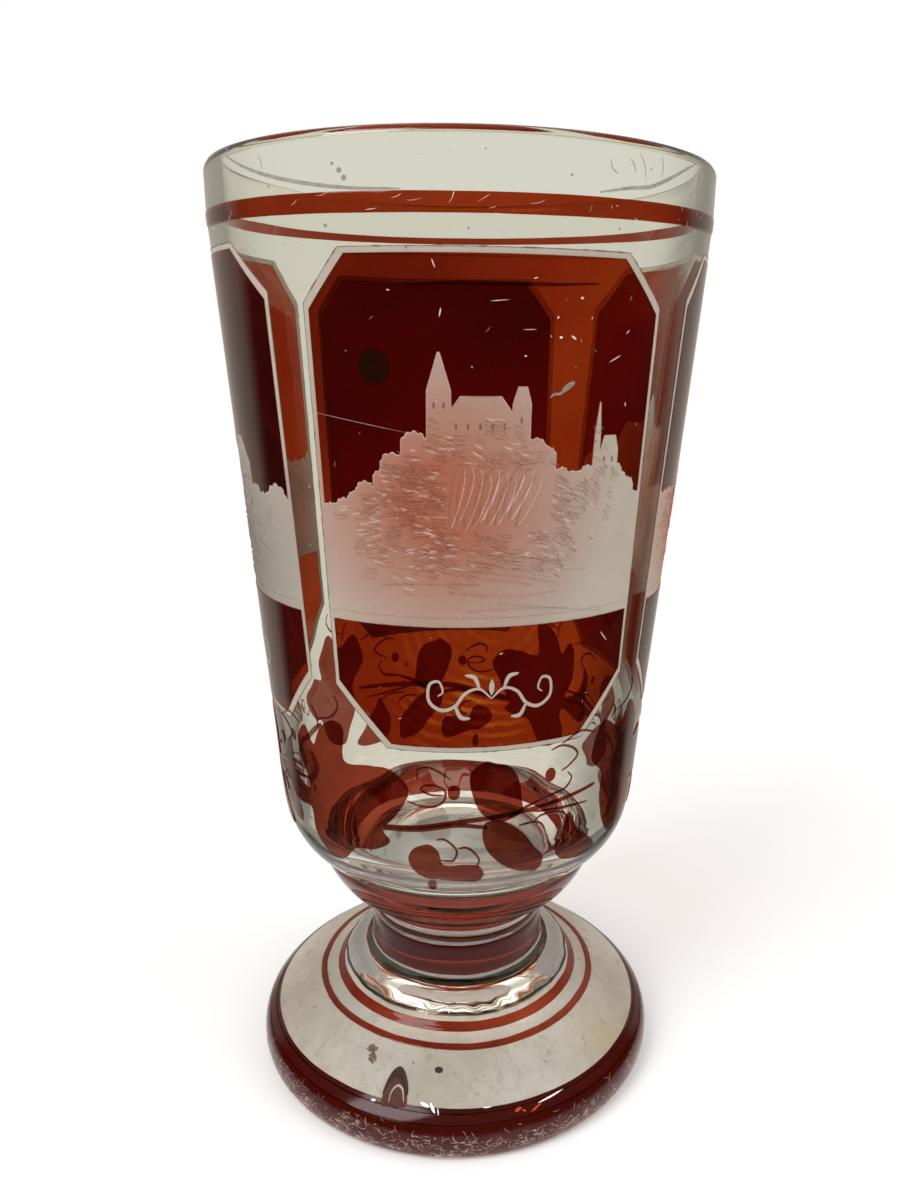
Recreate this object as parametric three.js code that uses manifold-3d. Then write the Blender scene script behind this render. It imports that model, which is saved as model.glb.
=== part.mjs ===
// A footed spa beaker in clear glass under a thin ruby layer.
// Millimetres, +Z up, origin on the table under the middle of the foot, front view towards -Y.
// Four gathers of clear glass are stacked from the table up: foot, stem, collar and bowl.
// The ruby layer is cut through, so it is left as islands that lie on the clear glass.
import * as THREE from "three";
import { mergeVertices } from "three/addons/utils/BufferGeometryUtils.js";
import Module from "manifold-3d";

const wasm = await Module();
wasm.setup();

// Heights of the four gathers
const footHeight = 16;
const stemHeight = 9;
const collarHeight = 10;
const bowlHeight = 105;

// Ruby layer
const layerThickness = 0.35;
const seatGap = 0.25;

// Foot
const footRestRadius = 30.6;
const footRadius = 31.5;
const footWidestHeight = 3;
const footShoulderRadius = 29.5;
const footShoulderHeight = 6.2;
const domeCrownRadius = 24.6;
const domeCrownHeight = 9.8;
const beadFootRadius = 18.8;
const beadFootHeight = 12;
const beadRadius = 17.4;
const beadHeight = 14.6;
const hollowRadius = 12;
const hollowDepth = 1.2;
const edgeBandLift = 0.9;

// Rings on top of the foot, each by its outer radius and its width
const innerRingRadius = 19.9;
const innerRingWidth = 1;
const outerRingRadius = 22.6;
const outerRingWidth = 0.9;

// Stem
const stemEndRadius = 14.4;
const stemWaistRadius = 13.6;
const stemBandLow = 1;
const stemBandHigh = 7.4;

// Collar
const collarTopRadius = 22;
const collarBulgeRadius = 19.4;
const collarBulgeHeight = 4.4;
const collarBandLow = 1.4;

// Bowl, with heights above the collar
const coneFootRadius = 27.9;
const coneFootHeight = 11;
const cornerRadius = 25.9;
const cornerHeight = 3.2;
const shoulderRadius = 36.7;
const shoulderHeight = 94;
const rimRadius = 38;
const lipFlare = 0.8;
const wallThickness = 2.7;
const baseWallThickness = 3.2;
const cupFloorHeight = 2.8;
const cupCornerRound = 6;

// Picture panels, with heights above the collar and angles in degrees
const panelCount = 4;
const panelStripAngle = 8.4;
const panelLow = 25.4;
const panelHigh = 90.8;
const frameWidth = 0.75;
const topChamferAngle = 8.8;
const topChamferHeight = 6.6;
const lowChamferAngle = 14;
const lowChamferHeight = 8.2;
const captionHigh = 43.2;
const skylineSide = 57.5;

// Rim band, above the panels
const rimBandGap = 4;
const rimBandWidth = 2.5;

// Hill with a castle and a knoll with a chapel, engraved on the front panel
const hill = { angle: -5, halfAngle: 35.5, rise: 13.2 };
const knoll = { angle: 28, halfAngle: 15, rise: 6.2 };
const roundTower = { angle: -12.5, width: 3, eaves: 74, peak: 78.6, ridge: 0.3 };
const hall = { angle: -4, width: 8.4, eaves: 71, peak: 73.4, ridge: 5 };
const gateTower = { angle: 4.5, width: 2.4, eaves: 72.4, peak: 74.6, ridge: 1.2 };
const nave = { angle: 28, width: 4, eaves: 66.2, peak: 68.2, ridge: 2.6 };
const spire = { angle: 23.5, width: 1.4, eaves: 68, peak: 72.6, ridge: 0.3 };
const hillTreeRadius = 1.9;
const hillTreeAngles = [-35, -30, -25, 12, 17];

// House among trees, engraved on the two side panels
const houseHalfAngle = 22;
const eavesHeight = 63;
const ridgeHeight = 71.5;
const gableHalfAngle = 11;
const treeRadius = 3.1;
const treeAngles = [-32, -26, 26, 32];
const treeHeight = 58.5;

// Low shore with trees, engraved on the back panel
const shoreHeight = 49.5;
const shoreTreeRadius = 1.9;
const shoreTreeAngles = [-30, -25, -8, 9, 22, 27];

// Garland, with heights above the collar and sizes along the surface
const leafHeight = 17;
const vineHeight = 14.2;
const vineWidth = 1.3;
const vineWave = 0.7;
const upperLeafAngle = 46;
const upperLeafHeight = 20.2;
const upperLeafHalfWidth = 4.1;
const upperLeafHalfHeight = 5.1;
const lowerLeafAngle = 52.5;
const lowerLeafHeight = 10.8;
const lowerLeafHalfWidth = 4.5;
const lowerLeafHalfHeight = 4.1;
const smallLeafAngle = 71.5;
const smallLeafHeight = 10.4;
const smallLeafHalfWidth = 3.4;
const smallLeafHalfHeight = 3.8;
const berryAngle = 27.4;
const berryHeight = 8.4;
const berryRadius = 2.5;
const berryTailAngle = 36;
const berryTailHeight = 6.8;
const berryTailHalfWidth = 4.4;
const berryTailHalfHeight = 1.5;

// Vine leaves, cut freehand: each outline is measured along the surface from the leaf's middle.
// At the level of the vine a leaf reaches so far before and after its middle.
const splitLeaf = {
  outline: [
    [-9.9, 4.9],
    [-5.2, -1.1],
    [-7.4, 5.5],
    [-5.2, 8.7],
    [-3.5, 6],
    [-1.9, 8.7],
    [0.9, 10.9],
    [2.5, 9.8],
    [2.1, 5.4],
    [6.2, 5.2],
    [9.9, 4.9],
    [11.9, 2.2],
    [10.5, -1.1],
    [8, -4.1],
    [8.9, -5.7],
    [6.2, -7.6],
    [3.1, -8.2],
    [0.6, -10.6],
    [-2.5, -10.9],
    [-5, -7.8],
    [-5.3, -4.7],
    [-8.4, -4.6],
    [-10.9, -3.8],
    [-12.4, 0.2],
  ],
  before: 12.4,
  after: 10.7,
  leadLeaf: false,
};
const fullLeaf = {
  outline: [
    [-5, 9.8],
    [-6.2, 7.8],
    [-6.7, 4.4],
    [-4, 1.1],
    [-4, -2.2],
    [-2.2, -7.2],
    [0.6, -9.8],
    [5, -8.7],
    [7.4, -6],
    [6.8, -3.3],
    [10.5, -2.2],
    [12.2, 1.1],
    [9.9, 4.4],
    [5.6, 3.9],
    [5, 7.6],
    [1.9, 10.9],
    [-0.6, 7.8],
  ],
  before: 4.5,
  after: 11.2,
  leadLeaf: true,
};

// Modelling steps
const facets = 48;
const facetAngle = 360 / facets;
const cutReach = 3;

// Levels of the joints between the gathers
const stemLevel = footHeight;
const collarLevel = stemLevel + stemHeight;
const bowlLevel = collarLevel + collarHeight;
const rimLevel = bowlLevel + bowlHeight;
const rimBandLevel = bowlLevel + panelHigh + rimBandGap;

const clearGlass = new THREE.MeshStandardMaterial({ color: 0xdcddd4, roughness: 0.06, metalness: 0 });
const mattGlass = new THREE.MeshStandardMaterial({ color: 0xbfb3a6, roughness: 0.6, metalness: 0 });
const rubyGlass = new THREE.MeshStandardMaterial({ color: 0x7d1e0f, roughness: 0.12, metalness: 0 });

const beaker = new THREE.Group();

function addPiece(name, geometry, material) {
  const piece = new THREE.Mesh(geometry, material);
  piece.name = name;
  beaker.add(piece);
}

// A smooth line through a few points of a profile, given as [radius, height]
function smooth(points, steps) {
  const corners = points.map(([radius, height]) => new THREE.Vector2(radius, height));
  return new THREE.SplineCurve(corners).getPoints(steps);
}

function line(points) {
  return points.map(([radius, height]) => new THREE.Vector2(radius, height));
}

// Joins stretches of a profile, leaving out the points that two of them share
function chain(...stretches) {
  const joined = [];
  for (const point of stretches.flat()) {
    const last = joined[joined.length - 1];
    if (!last || last.distanceTo(point) > 1e-6) joined.push(point);
  }
  return joined;
}

// Turns a profile round the Z axis, with azimuth 0 at the front
function turn(profile) {
  return new THREE.LatheGeometry(profile, facets).rotateX(Math.PI / 2);
}

// The stretch of a profile between two values of its radius ("x") or its height ("y")
function stretch(profile, key, start, end) {
  const direction = Math.sign(end - start);
  const at = (value) => {
    for (let i = 0; i + 1 < profile.length; i += 1) {
      const [a, b] = [profile[i], profile[i + 1]];
      const share = (value - a[key]) / (b[key] - a[key]);
      if (share >= 0 && share <= 1) return a.clone().lerp(b, share);
    }
    const before = (value - profile[0][key]) * direction < 0;
    return profile[before ? 0 : profile.length - 1].clone();
  };
  const inside = profile.filter((point) => {
    const sinceStart = (point[key] - start) * direction;
    const untilEnd = (end - point[key]) * direction;
    return sinceStart > 1e-6 && untilEnd > 1e-6;
  });
  return [at(start), ...inside, at(end)];
}

// Moves a profile outwards by a distance, square to itself
function offset(profile, distance) {
  const sides = profile.slice(1).map((point, i) => {
    const along = point.clone().sub(profile[i]).normalize();
    return new THREE.Vector2(along.y, -along.x);
  });
  return profile.map((point, i) => {
    const before = sides[Math.max(i - 1, 0)];
    const after = sides[Math.min(i, sides.length - 1)];
    const normal = before.clone().add(after).normalize();
    return point.clone().addScaledVector(normal, distance / normal.dot(after));
  });
}

// A ring of ruby layer that follows a stretch of a profile
function layerRing(path) {
  const outside = offset(path, seatGap + layerThickness);
  const inside = offset(path, seatGap).reverse();
  return turn([...outside, ...inside, outside[0].clone()]);
}

function toSolid(geometry) {
  geometry.deleteAttribute("normal");
  geometry.deleteAttribute("uv");
  const merged = mergeVertices(geometry, 1e-5);
  const mesh = new wasm.Mesh({
    numProp: 3,
    vertProperties: new Float32Array(merged.attributes.position.array),
    triVerts: new Uint32Array(merged.index.array),
  });
  return new wasm.Manifold(mesh);
}

function toGeometry(solid) {
  const mesh = solid.getMesh();
  const geometry = new THREE.BufferGeometry();
  geometry.setAttribute("position", new THREE.BufferAttribute(new Float32Array(mesh.vertProperties), 3));
  geometry.setIndex(new THREE.BufferAttribute(new Uint32Array(mesh.triVerts), 1));
  return geometry;
}

// An outline of [azimuth, height] points made into a solid that passes through the bowl's surface:
// its walls run from cutReach inside the surface to cutReach outside, and flare out to a far end
function radialPrism(outline) {
  const points = [];
  outline.forEach(([azimuth, height], i) => {
    const [nextAzimuth, nextHeight] = outline[(i + 1) % outline.length];
    const steps = Math.max(1, Math.ceil(Math.abs(nextAzimuth - azimuth) / facetAngle));
    for (let step = 0; step < steps; step += 1) {
      const share = step / steps;
      const point = [azimuth + (nextAzimuth - azimuth) * share, height + (nextHeight - height) * share];
      points.push(new THREE.Vector2(...point));
    }
  });
  if (THREE.ShapeUtils.isClockWise(points)) points.reverse();
  const inside = (height) => radiusAt(height) - cutReach;
  const outside = (height) => radiusAt(height) + cutReach;
  const farEnd = () => rimRadius * 2;
  const sections = [inside, outside, farEnd];
  const positions = [];
  for (const section of sections) {
    for (const point of points) {
      const azimuth = THREE.MathUtils.degToRad(point.x);
      const radius = section(point.y);
      positions.push(radius * Math.sin(azimuth), -radius * Math.cos(azimuth), point.y);
    }
  }
  const count = points.length;
  const last = count * (sections.length - 1);
  const indices = [];
  for (const [a, b, c] of THREE.ShapeUtils.triangulateShape(points, [])) {
    indices.push(last + a, last + b, last + c, c, b, a);
  }
  for (let start = 0; start < last; start += count) {
    for (let i = 0; i < count; i += 1) {
      const [near, nearNext] = [start + i, start + ((i + 1) % count)];
      indices.push(near, nearNext, nearNext + count, near, nearNext + count, near + count);
    }
  }
  const geometry = new THREE.BufferGeometry();
  geometry.setAttribute("position", new THREE.Float32BufferAttribute(positions, 3));
  geometry.setIndex(indices);
  return toSolid(geometry);
}

// Foot: rest face with a polished hollow, rolled edge, low dome and a bead round the stem
const footEdge = smooth(
  [
    [footRestRadius, 0],
    [footRadius, footWidestHeight],
    [footShoulderRadius, footShoulderHeight],
  ],
  4,
);
const footDome = smooth(
  [
    [footShoulderRadius, footShoulderHeight],
    [domeCrownRadius, domeCrownHeight],
    [beadFootRadius, beadFootHeight],
  ],
  4,
);
const footBead = smooth(
  [
    [beadFootRadius, beadFootHeight],
    [(beadFootRadius + beadRadius) / 2, (beadFootHeight + beadHeight) / 2],
    [beadRadius, beadHeight],
    [(beadRadius + stemEndRadius) / 2, (beadHeight + footHeight) / 2],
    [stemEndRadius, footHeight],
  ],
  6,
);

function makeFoot() {
  const hollow = smooth(
    [
      [0, hollowDepth],
      [hollowRadius * 0.6, hollowDepth * 0.6],
      [hollowRadius, 0],
    ],
    3,
  );
  const profile = chain(hollow, footEdge, footDome, footBead, line([[0, footHeight]]));
  addPiece("foot", turn(profile), mattGlass);
}

function makeFootBands() {
  const edge = stretch(footEdge, "y", edgeBandLift, footShoulderHeight);
  addPiece("foot_edge_band", layerRing(edge), rubyGlass);
  const outerRing = stretch(footDome, "x", outerRingRadius, outerRingRadius - outerRingWidth);
  addPiece("foot_outer_ring", layerRing(outerRing), rubyGlass);
  const innerRing = stretch(footDome, "x", innerRingRadius, innerRingRadius - innerRingWidth);
  addPiece("foot_inner_ring", layerRing(innerRing), rubyGlass);
}

// Stem: a short waisted column
const stemSide = smooth(
  [
    [stemEndRadius, stemLevel],
    [stemWaistRadius, stemLevel + stemHeight / 2],
    [stemEndRadius, collarLevel],
  ],
  3,
);

function makeStem() {
  const profile = chain(line([[0, stemLevel]]), stemSide, line([[0, collarLevel]]));
  addPiece("stem", turn(profile), clearGlass);
  const band = stretch(stemSide, "y", stemLevel + stemBandLow, stemLevel + stemBandHigh);
  addPiece("stem_band", layerRing(band), rubyGlass);
}

// Collar: a bulging ring that carries the bowl
const collarSide = smooth(
  [
    [stemEndRadius, collarLevel],
    [collarBulgeRadius, collarLevel + collarBulgeHeight],
    [collarTopRadius, bowlLevel],
  ],
  4,
);

function makeCollar() {
  const profile = chain(line([[0, collarLevel]]), collarSide, line([[0, bowlLevel]]));
  addPiece("collar", turn(profile), clearGlass);
  const bandTop = bowlLevel - seatGap - layerThickness;
  const band = stretch(collarSide, "y", collarLevel + collarBandLow, bandTop);
  addPiece("collar_band", layerRing(band), rubyGlass);
}

// Bowl: a rounded underside, a long cone, a round lip and a thick floor inside
const bowlCorner = smooth(
  [
    [collarTopRadius, bowlLevel],
    [cornerRadius, bowlLevel + cornerHeight],
    [coneFootRadius, bowlLevel + coneFootHeight],
  ],
  5,
);
const lipRadius = wallThickness / 2;
const bowlSide = chain(
  bowlCorner,
  line([
    [shoulderRadius, bowlLevel + shoulderHeight],
    [rimRadius - lipFlare, rimBandLevel + rimBandWidth],
    [rimRadius, rimLevel - lipRadius],
  ]),
);

function radiusAt(height) {
  return stretch(bowlSide, "y", height, rimLevel)[0].x;
}

function makeBowl() {
  const lip = new THREE.Path();
  lip.absarc(rimRadius - lipRadius, rimLevel - lipRadius, lipRadius, 0, Math.PI, false);
  const floorLevel = bowlLevel + cupFloorHeight;
  const wallFootLevel = floorLevel + cupCornerRound;
  const wallFootRadius = radiusAt(wallFootLevel) - baseWallThickness;
  const cornerRound = new THREE.Path();
  cornerRound.absarc(wallFootRadius - cupCornerRound, wallFootLevel, cupCornerRound, 0, -Math.PI / 2, true);
  const profile = chain(
    line([[0, bowlLevel]]),
    bowlSide,
    lip.getPoints(2),
    line([[shoulderRadius - wallThickness, bowlLevel + shoulderHeight]]),
    cornerRound.getPoints(2),
    line([[0, floorLevel]]),
  );
  addPiece("bowl", turn(profile), clearGlass);
  const band = stretch(bowlSide, "y", rimBandLevel, rimBandLevel + rimBandWidth);
  addPiece("rim_band", layerRing(band), rubyGlass);
}

// The angle that a width along the surface takes up at a height above the collar
function angleOf(width, height) {
  return THREE.MathUtils.radToDeg(width / radiusAt(bowlLevel + height));
}

// An ellipse on the surface, with an optional pointed end, sized along the surface
function ellipse(angle, height, halfWidth, halfHeight, point = 0, steps = 12) {
  const outline = [];
  for (let step = 0; step < steps; step += 1) {
    const turned = (2 * Math.PI * step) / steps;
    const reach = 1 + point * Math.max(0, -Math.sin(turned)) ** 6;
    const level = height + halfHeight * reach * Math.sin(turned);
    outline.push([angle + angleOf(halfWidth * Math.cos(turned), height), bowlLevel + level]);
  }
  return outline;
}

// Picture panels: an octagon of ruby, cut into a sky plate and a caption plate
const panelAngle = 360 / panelCount - panelStripAngle;
const plateHalfAngle = panelAngle / 2 - angleOf(frameWidth, (panelLow + panelHigh) / 2);
const plateHigh = bowlLevel + panelHigh - frameWidth;
const plateLow = bowlLevel + panelLow + frameWidth;

function skyOutline(middle) {
  return [
    [middle - plateHalfAngle, bowlLevel + captionHigh + frameWidth],
    [middle + plateHalfAngle, bowlLevel + captionHigh + frameWidth],
    [middle + plateHalfAngle, plateHigh - topChamferHeight],
    [middle + plateHalfAngle - topChamferAngle, plateHigh],
    [middle - plateHalfAngle + topChamferAngle, plateHigh],
    [middle - plateHalfAngle, plateHigh - topChamferHeight],
  ];
}

function captionOutline(middle) {
  return [
    [middle - plateHalfAngle, bowlLevel + captionHigh],
    [middle - plateHalfAngle, plateLow + lowChamferHeight],
    [middle - plateHalfAngle + lowChamferAngle, plateLow],
    [middle + plateHalfAngle - lowChamferAngle, plateLow],
    [middle + plateHalfAngle, plateLow + lowChamferHeight],
    [middle + plateHalfAngle, bowlLevel + captionHigh],
  ];
}

// The ground of a view, which runs past both sides and below the sky plate
function groundOutline(middle, heightAt) {
  const outline = [];
  const steps = 14;
  for (let step = 0; step <= steps; step += 1) {
    const angle = -panelAngle / 2 + (panelAngle * step) / steps;
    outline.push([middle + angle, bowlLevel + heightAt(angle)]);
  }
  const below = bowlLevel + captionHigh - frameWidth;
  return [...outline, [middle + panelAngle / 2, below], [middle - panelAngle / 2, below]];
}

// A wall with a roof that narrows to its ridge
function buildingOutline(middle, building) {
  const halfAngle = angleOf(building.width / 2, building.eaves);
  const ridgeHalfAngle = angleOf(building.ridge / 2, building.peak);
  const angle = middle + building.angle;
  return [
    [angle - halfAngle, bowlLevel + skylineSide],
    [angle + halfAngle, bowlLevel + skylineSide],
    [angle + halfAngle, bowlLevel + building.eaves],
    [angle + ridgeHalfAngle, bowlLevel + building.peak],
    [angle - ridgeHalfAngle, bowlLevel + building.peak],
    [angle - halfAngle, bowlLevel + building.eaves],
  ];
}

function hillView(middle) {
  const bump = (angle, mound) => {
    const share = Math.min(1, Math.abs(angle - mound.angle) / mound.halfAngle);
    return mound.rise * (0.5 + 0.5 * Math.cos(Math.PI * share));
  };
  const heightAt = (angle) => skylineSide + bump(angle, hill) + bump(angle, knoll);
  const buildings = [roundTower, hall, gateTower, nave, spire];
  const walls = buildings.map((building) => buildingOutline(middle, building));
  const trees = hillTreeAngles.map((angle) => {
    return ellipse(middle + angle, heightAt(angle), hillTreeRadius, hillTreeRadius);
  });
  return [groundOutline(middle, heightAt), ...walls, ...trees];
}

function houseView(middle) {
  const walls = [
    [middle - houseHalfAngle, bowlLevel + captionHigh],
    [middle + houseHalfAngle, bowlLevel + captionHigh],
    [middle + houseHalfAngle, bowlLevel + eavesHeight],
    [middle + gableHalfAngle, bowlLevel + eavesHeight],
    [middle, bowlLevel + ridgeHeight],
    [middle - gableHalfAngle, bowlLevel + eavesHeight],
    [middle - houseHalfAngle, bowlLevel + eavesHeight],
  ];
  const trees = treeAngles.map((angle) => ellipse(middle + angle, treeHeight, treeRadius, treeRadius));
  return [groundOutline(middle, () => skylineSide), walls, ...trees];
}

function shoreView(middle) {
  const trees = shoreTreeAngles.map((angle) => {
    return ellipse(middle + angle, shoreHeight, shoreTreeRadius, shoreTreeRadius);
  });
  return [groundOutline(middle, () => shoreHeight), ...trees];
}

function makePanels() {
  const path = stretch(bowlSide, "y", bowlLevel + panelLow, bowlLevel + panelHigh);
  const shell = toSolid(layerRing(path));
  const views = [hillView, houseView, shoreView, houseView];
  for (let panel = 0; panel < panelCount; panel += 1) {
    const middle = (360 / panelCount) * panel;
    let sky = shell.intersect(radialPrism(skyOutline(middle)));
    for (const cut of views[panel % views.length](middle)) {
      sky = sky.subtract(radialPrism(cut));
    }
    addPiece(`panel_${panel + 1}_sky_plate`, toGeometry(sky), rubyGlass);
    const caption = shell.intersect(radialPrism(captionOutline(middle)));
    addPiece(`panel_${panel + 1}_caption_plate`, toGeometry(caption), rubyGlass);
  }
}

// Garland: a lobed leaf under each clear strip, and a spray of vine with leaves under each panel
function lobedLeafOutline(middle, leaf) {
  return leaf.outline.map(([across, up]) => [
    middle + angleOf(across, leafHeight),
    bowlLevel + leafHeight + up,
  ]);
}

function vineOutline(start, end) {
  const upper = [];
  const lower = [];
  const steps = 8;
  for (let step = 0; step <= steps; step += 1) {
    const share = step / steps;
    const level = bowlLevel + vineHeight + vineWave * Math.sin(2 * Math.PI * share - Math.PI / 2);
    const azimuth = start + (end - start) * share;
    upper.push([azimuth, level + vineWidth / 2]);
    lower.push([azimuth, level - vineWidth / 2]);
  }
  return [...lower, ...upper.reverse()];
}

function smallLeafOutline(middle) {
  const halfAngle = angleOf(smallLeafHalfWidth, smallLeafHeight);
  return [
    [middle - halfAngle, bowlLevel + smallLeafHeight - smallLeafHalfHeight * 0.7],
    [middle + halfAngle, bowlLevel + smallLeafHeight - smallLeafHalfHeight],
    [middle + halfAngle * 0.4, bowlLevel + smallLeafHeight + smallLeafHalfHeight * 0.5],
    [middle - halfAngle * 0.2, bowlLevel + vineHeight],
    [middle - halfAngle * 0.7, bowlLevel + smallLeafHeight + smallLeafHalfHeight * 0.3],
  ];
}

function makeGarland() {
  const leaves = [splitLeaf, fullLeaf];
  const leafReach = leafHeight + Math.max(...leaves.flatMap((leaf) => leaf.outline.map(([, up]) => up)));
  const path = stretch(bowlSide, "y", bowlLevel + cornerHeight / 2, bowlLevel + leafReach + frameWidth);
  const shell = toSolid(layerRing(path));
  const pitch = 360 / panelCount;
  for (let repeat = 0; repeat < panelCount; repeat += 1) {
    const middle = pitch * (repeat - 0.5);
    const leaf = leaves[repeat % leaves.length];
    const nextLeaf = leaves[(repeat + 1) % leaves.length];
    const lobed = shell.intersect(radialPrism(lobedLeafOutline(middle, leaf)));
    addPiece(`lobed_leaf_${repeat + 1}`, toGeometry(lobed), rubyGlass);

    const vineStart = middle + angleOf(leaf.after + seatGap, vineHeight);
    const vineEnd = middle + pitch - angleOf(nextLeaf.before + seatGap, vineHeight);
    const vine = radialPrism(vineOutline(vineStart, vineEnd));
    const upper = [upperLeafHeight, upperLeafHalfWidth, upperLeafHalfHeight, 0.25];
    const lower = [lowerLeafHeight, lowerLeafHalfWidth, lowerLeafHalfHeight];
    const hanging = [
      ellipse(middle + upperLeafAngle, ...upper),
      ellipse(middle + lowerLeafAngle, ...lower),
    ];
    if (nextLeaf.leadLeaf) {
      hanging.push(smallLeafOutline(middle + smallLeafAngle));
    }
    const spray = hanging.reduce((joined, outline) => joined.add(radialPrism(outline)), vine);
    addPiece(`vine_spray_${repeat + 1}`, toGeometry(shell.intersect(spray)), rubyGlass);

    const berry = radialPrism(ellipse(middle + berryAngle, berryHeight, berryRadius, berryRadius));
    const tail = [berryTailHeight, berryTailHalfWidth, berryTailHalfHeight];
    const tailOutline = ellipse(middle + berryTailAngle, ...tail);
    const cluster = shell.intersect(berry.add(radialPrism(tailOutline)));
    addPiece(`berry_cluster_${repeat + 1}`, toGeometry(cluster), rubyGlass);
  }
}

makeFoot();
makeFootBands();
makeStem();
makeCollar();
makeBowl();
makePanels();
makeGarland();

export default beaker;
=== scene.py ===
# Looks of a footed spa beaker: clear glass under cut and engraved islands of ruby glass.
# Sizes on the object are millimetres and become metres when a mesh is made.
# Azimuths are degrees round the Z axis, 0 at the front (-Y) and growing towards +X.
import math
import random

import bpy
import numpy as np
from mathutils import Matrix, Vector
from mathutils.geometry import delaunay_2d_cdt


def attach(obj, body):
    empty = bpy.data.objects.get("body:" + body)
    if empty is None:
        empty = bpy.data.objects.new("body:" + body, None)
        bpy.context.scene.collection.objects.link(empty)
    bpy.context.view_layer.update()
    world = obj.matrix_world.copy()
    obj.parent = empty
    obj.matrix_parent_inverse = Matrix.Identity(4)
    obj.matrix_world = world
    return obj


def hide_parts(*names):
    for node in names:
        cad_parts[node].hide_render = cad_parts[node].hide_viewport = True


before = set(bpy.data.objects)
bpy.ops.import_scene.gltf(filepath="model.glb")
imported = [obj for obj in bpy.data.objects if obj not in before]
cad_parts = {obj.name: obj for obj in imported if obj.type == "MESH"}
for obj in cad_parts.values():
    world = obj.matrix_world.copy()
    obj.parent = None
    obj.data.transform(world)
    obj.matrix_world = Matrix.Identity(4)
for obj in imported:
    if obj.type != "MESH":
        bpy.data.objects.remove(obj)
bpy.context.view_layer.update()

MM = 0.001
SEGMENTS = 288
# The radius at which the glass is unrolled to draw on it
UNROLLED_RADIUS = 34

# Outside of the glass from the table up, as [radius, height]
OUTSIDE = [
    [30.8, 0], [31.5, 0.9], [31.9, 3], [31.4, 5], [29.8, 6.6], [27, 8.8], [23.1, 10.6], [20.2, 11.4],
    [19, 12.2], [18.4, 13.6], [17.4, 14.6], [16.2, 15], [15.1, 15.5], [14.35, 16.6], [14.05, 18], [14, 22],
    [14.2, 24.5], [15, 25.9], [17, 26.9], [19.2, 28.6], [21, 31], [22.1, 33.2], [22.6, 34.8], [24, 35.7],
    [25.9, 37.6], [27.4, 40.4], [28.1, 43.2], [28.5, 46], [29.5, 56], [37.3, 129], [37.65, 132.5],
    [37.9, 138.6],
]
# The straight cone of the bowl runs from this point to the next
CONE_START = 28
FOOT_TOP = 16
STEM_TOP = 25
COLLAR_TOP = 35
HOLLOW_RADIUS = 12
HOLLOW_DEPTH = 1.2
UNDERSIDE_RADIUS = 22
# The dome of the foot starts at this level, and its matt top reaches in to this radius
DOME_START = 3
MATT_RADIUS = 18.6

# Inside of the bowl
LIP_LEVEL = 138.6
RIM_LEVEL = 140
WALL = 2.7
BASE_WALL = 3.2
FLOOR_LEVEL = 37.8
FLOOR_ROUND = 6

# Ruby layer and matt skin, lifted off the clear glass
RUBY_LIFT = 0.03
RUBY_THICKNESS = 0.1
MATT_LIFT = 0.01
MATT_THICKNESS = 0.03

# Ruby bands that run round the glass, as [lower level, upper level] or as [outer radius, inner radius]
FOOT_EDGE_BAND = [0.7, 6.75]
OUTER_RING_RADII = [22.85, 21.8]
INNER_RING_RADII = [19.95, 18.85]
STEM_BAND = [17, 23.4]
STEM_GROOVE = [21.9, 22.5]
COLLAR_BAND = [27, 34.8]
RIM_BAND = [129.8, 132.3]
# How much higher the two edges of the rim band lie at the back, where it was painted thin and out of level
RIM_BAND_RISE = (3, 1.7)

# Painted dark reflections over the bead and under it, and a trace of ruby, as [lower level, upper level]
FILLET_PAINTED_DARK = [15.6, 16.6]
FILLET_LINE = [15.35, 15.55]
BEAD_PAINTED_DARK = [13.35, 13.7]
# Thin dark lines in the foot's edge
EDGE_LINES = [[5.3, 5.42], [6.28, 6.4]]

# Picture panels. Angles are degrees, and a chamfer is [degrees, millimetres].
PANEL_COUNT = 4
PANEL_HALF_ANGLE = 40.8
PANEL_LOW = 60.4
PANEL_HIGH = 125.8
FRAME_ANGLE = 1.28
FRAME_WIDTH = 0.75
TOP_CHAMFER = [8.8, 6.6]
LOW_CHAMFER = [14, 8.2]
CAPTION_HIGH = 78.2
FIELD_LOW = 78.95
SKYLINE_SIDE = 92.5
SHORE_LEVEL = 84.5

# Camera, from the outline of the glass in the photograph
PHOTO_SIZE = [907, 1200]
CENTRE_PIXEL = [490.46, 492.19]
FOCAL_PIXELS = 997.66
CAMERA_DISTANCE = 157.4
CAMERA_HEIGHT = 114.8
CAMERA_AZIMUTH = -8.1
CAMERA_YAW = 1.773
CAMERA_PITCH = 8.497
CAMERA_ROLL = 0.626
SENSOR = 36


def smooth(points, step=0.5, closed=False):
    """A centripetal Catmull-Rom curve through points, with a point about every step."""
    points = [np.array(p, float) for p in points]
    if closed:
        points = [points[-1], *points, points[0], points[1]]
    else:
        points = [2 * points[0] - points[1], *points, 2 * points[-1] - points[-2]]
    curve = []
    for a, b, c, d in zip(points, points[1:], points[2:], points[3:]):
        knots = [0.0]
        for p, q in ((a, b), (b, c), (c, d)):
            knots.append(knots[-1] + math.sqrt(np.linalg.norm(q - p)))
        count = max(1, math.ceil(np.linalg.norm(c - b) / step))
        for t in np.linspace(knots[1], knots[2], count, endpoint=False):
            curve.append(catmull_rom((a, b, c, d), knots, t))
    if not closed:
        curve.append(points[-2])
    return np.array(curve)


def catmull_rom(points, knots, t):
    """The point at t on one stretch of the curve, by repeated mixing."""
    for width in (1, 2):
        mixed = []
        for i in range(len(points) - 1):
            share = (t - knots[i]) / (knots[i + width] - knots[i])
            mixed.append(points[i] * (1 - share) + points[i + 1] * share)
        points = mixed
    share = (t - knots[1]) / (knots[2] - knots[1])
    return points[0] * (1 - share) + points[1] * share


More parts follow.
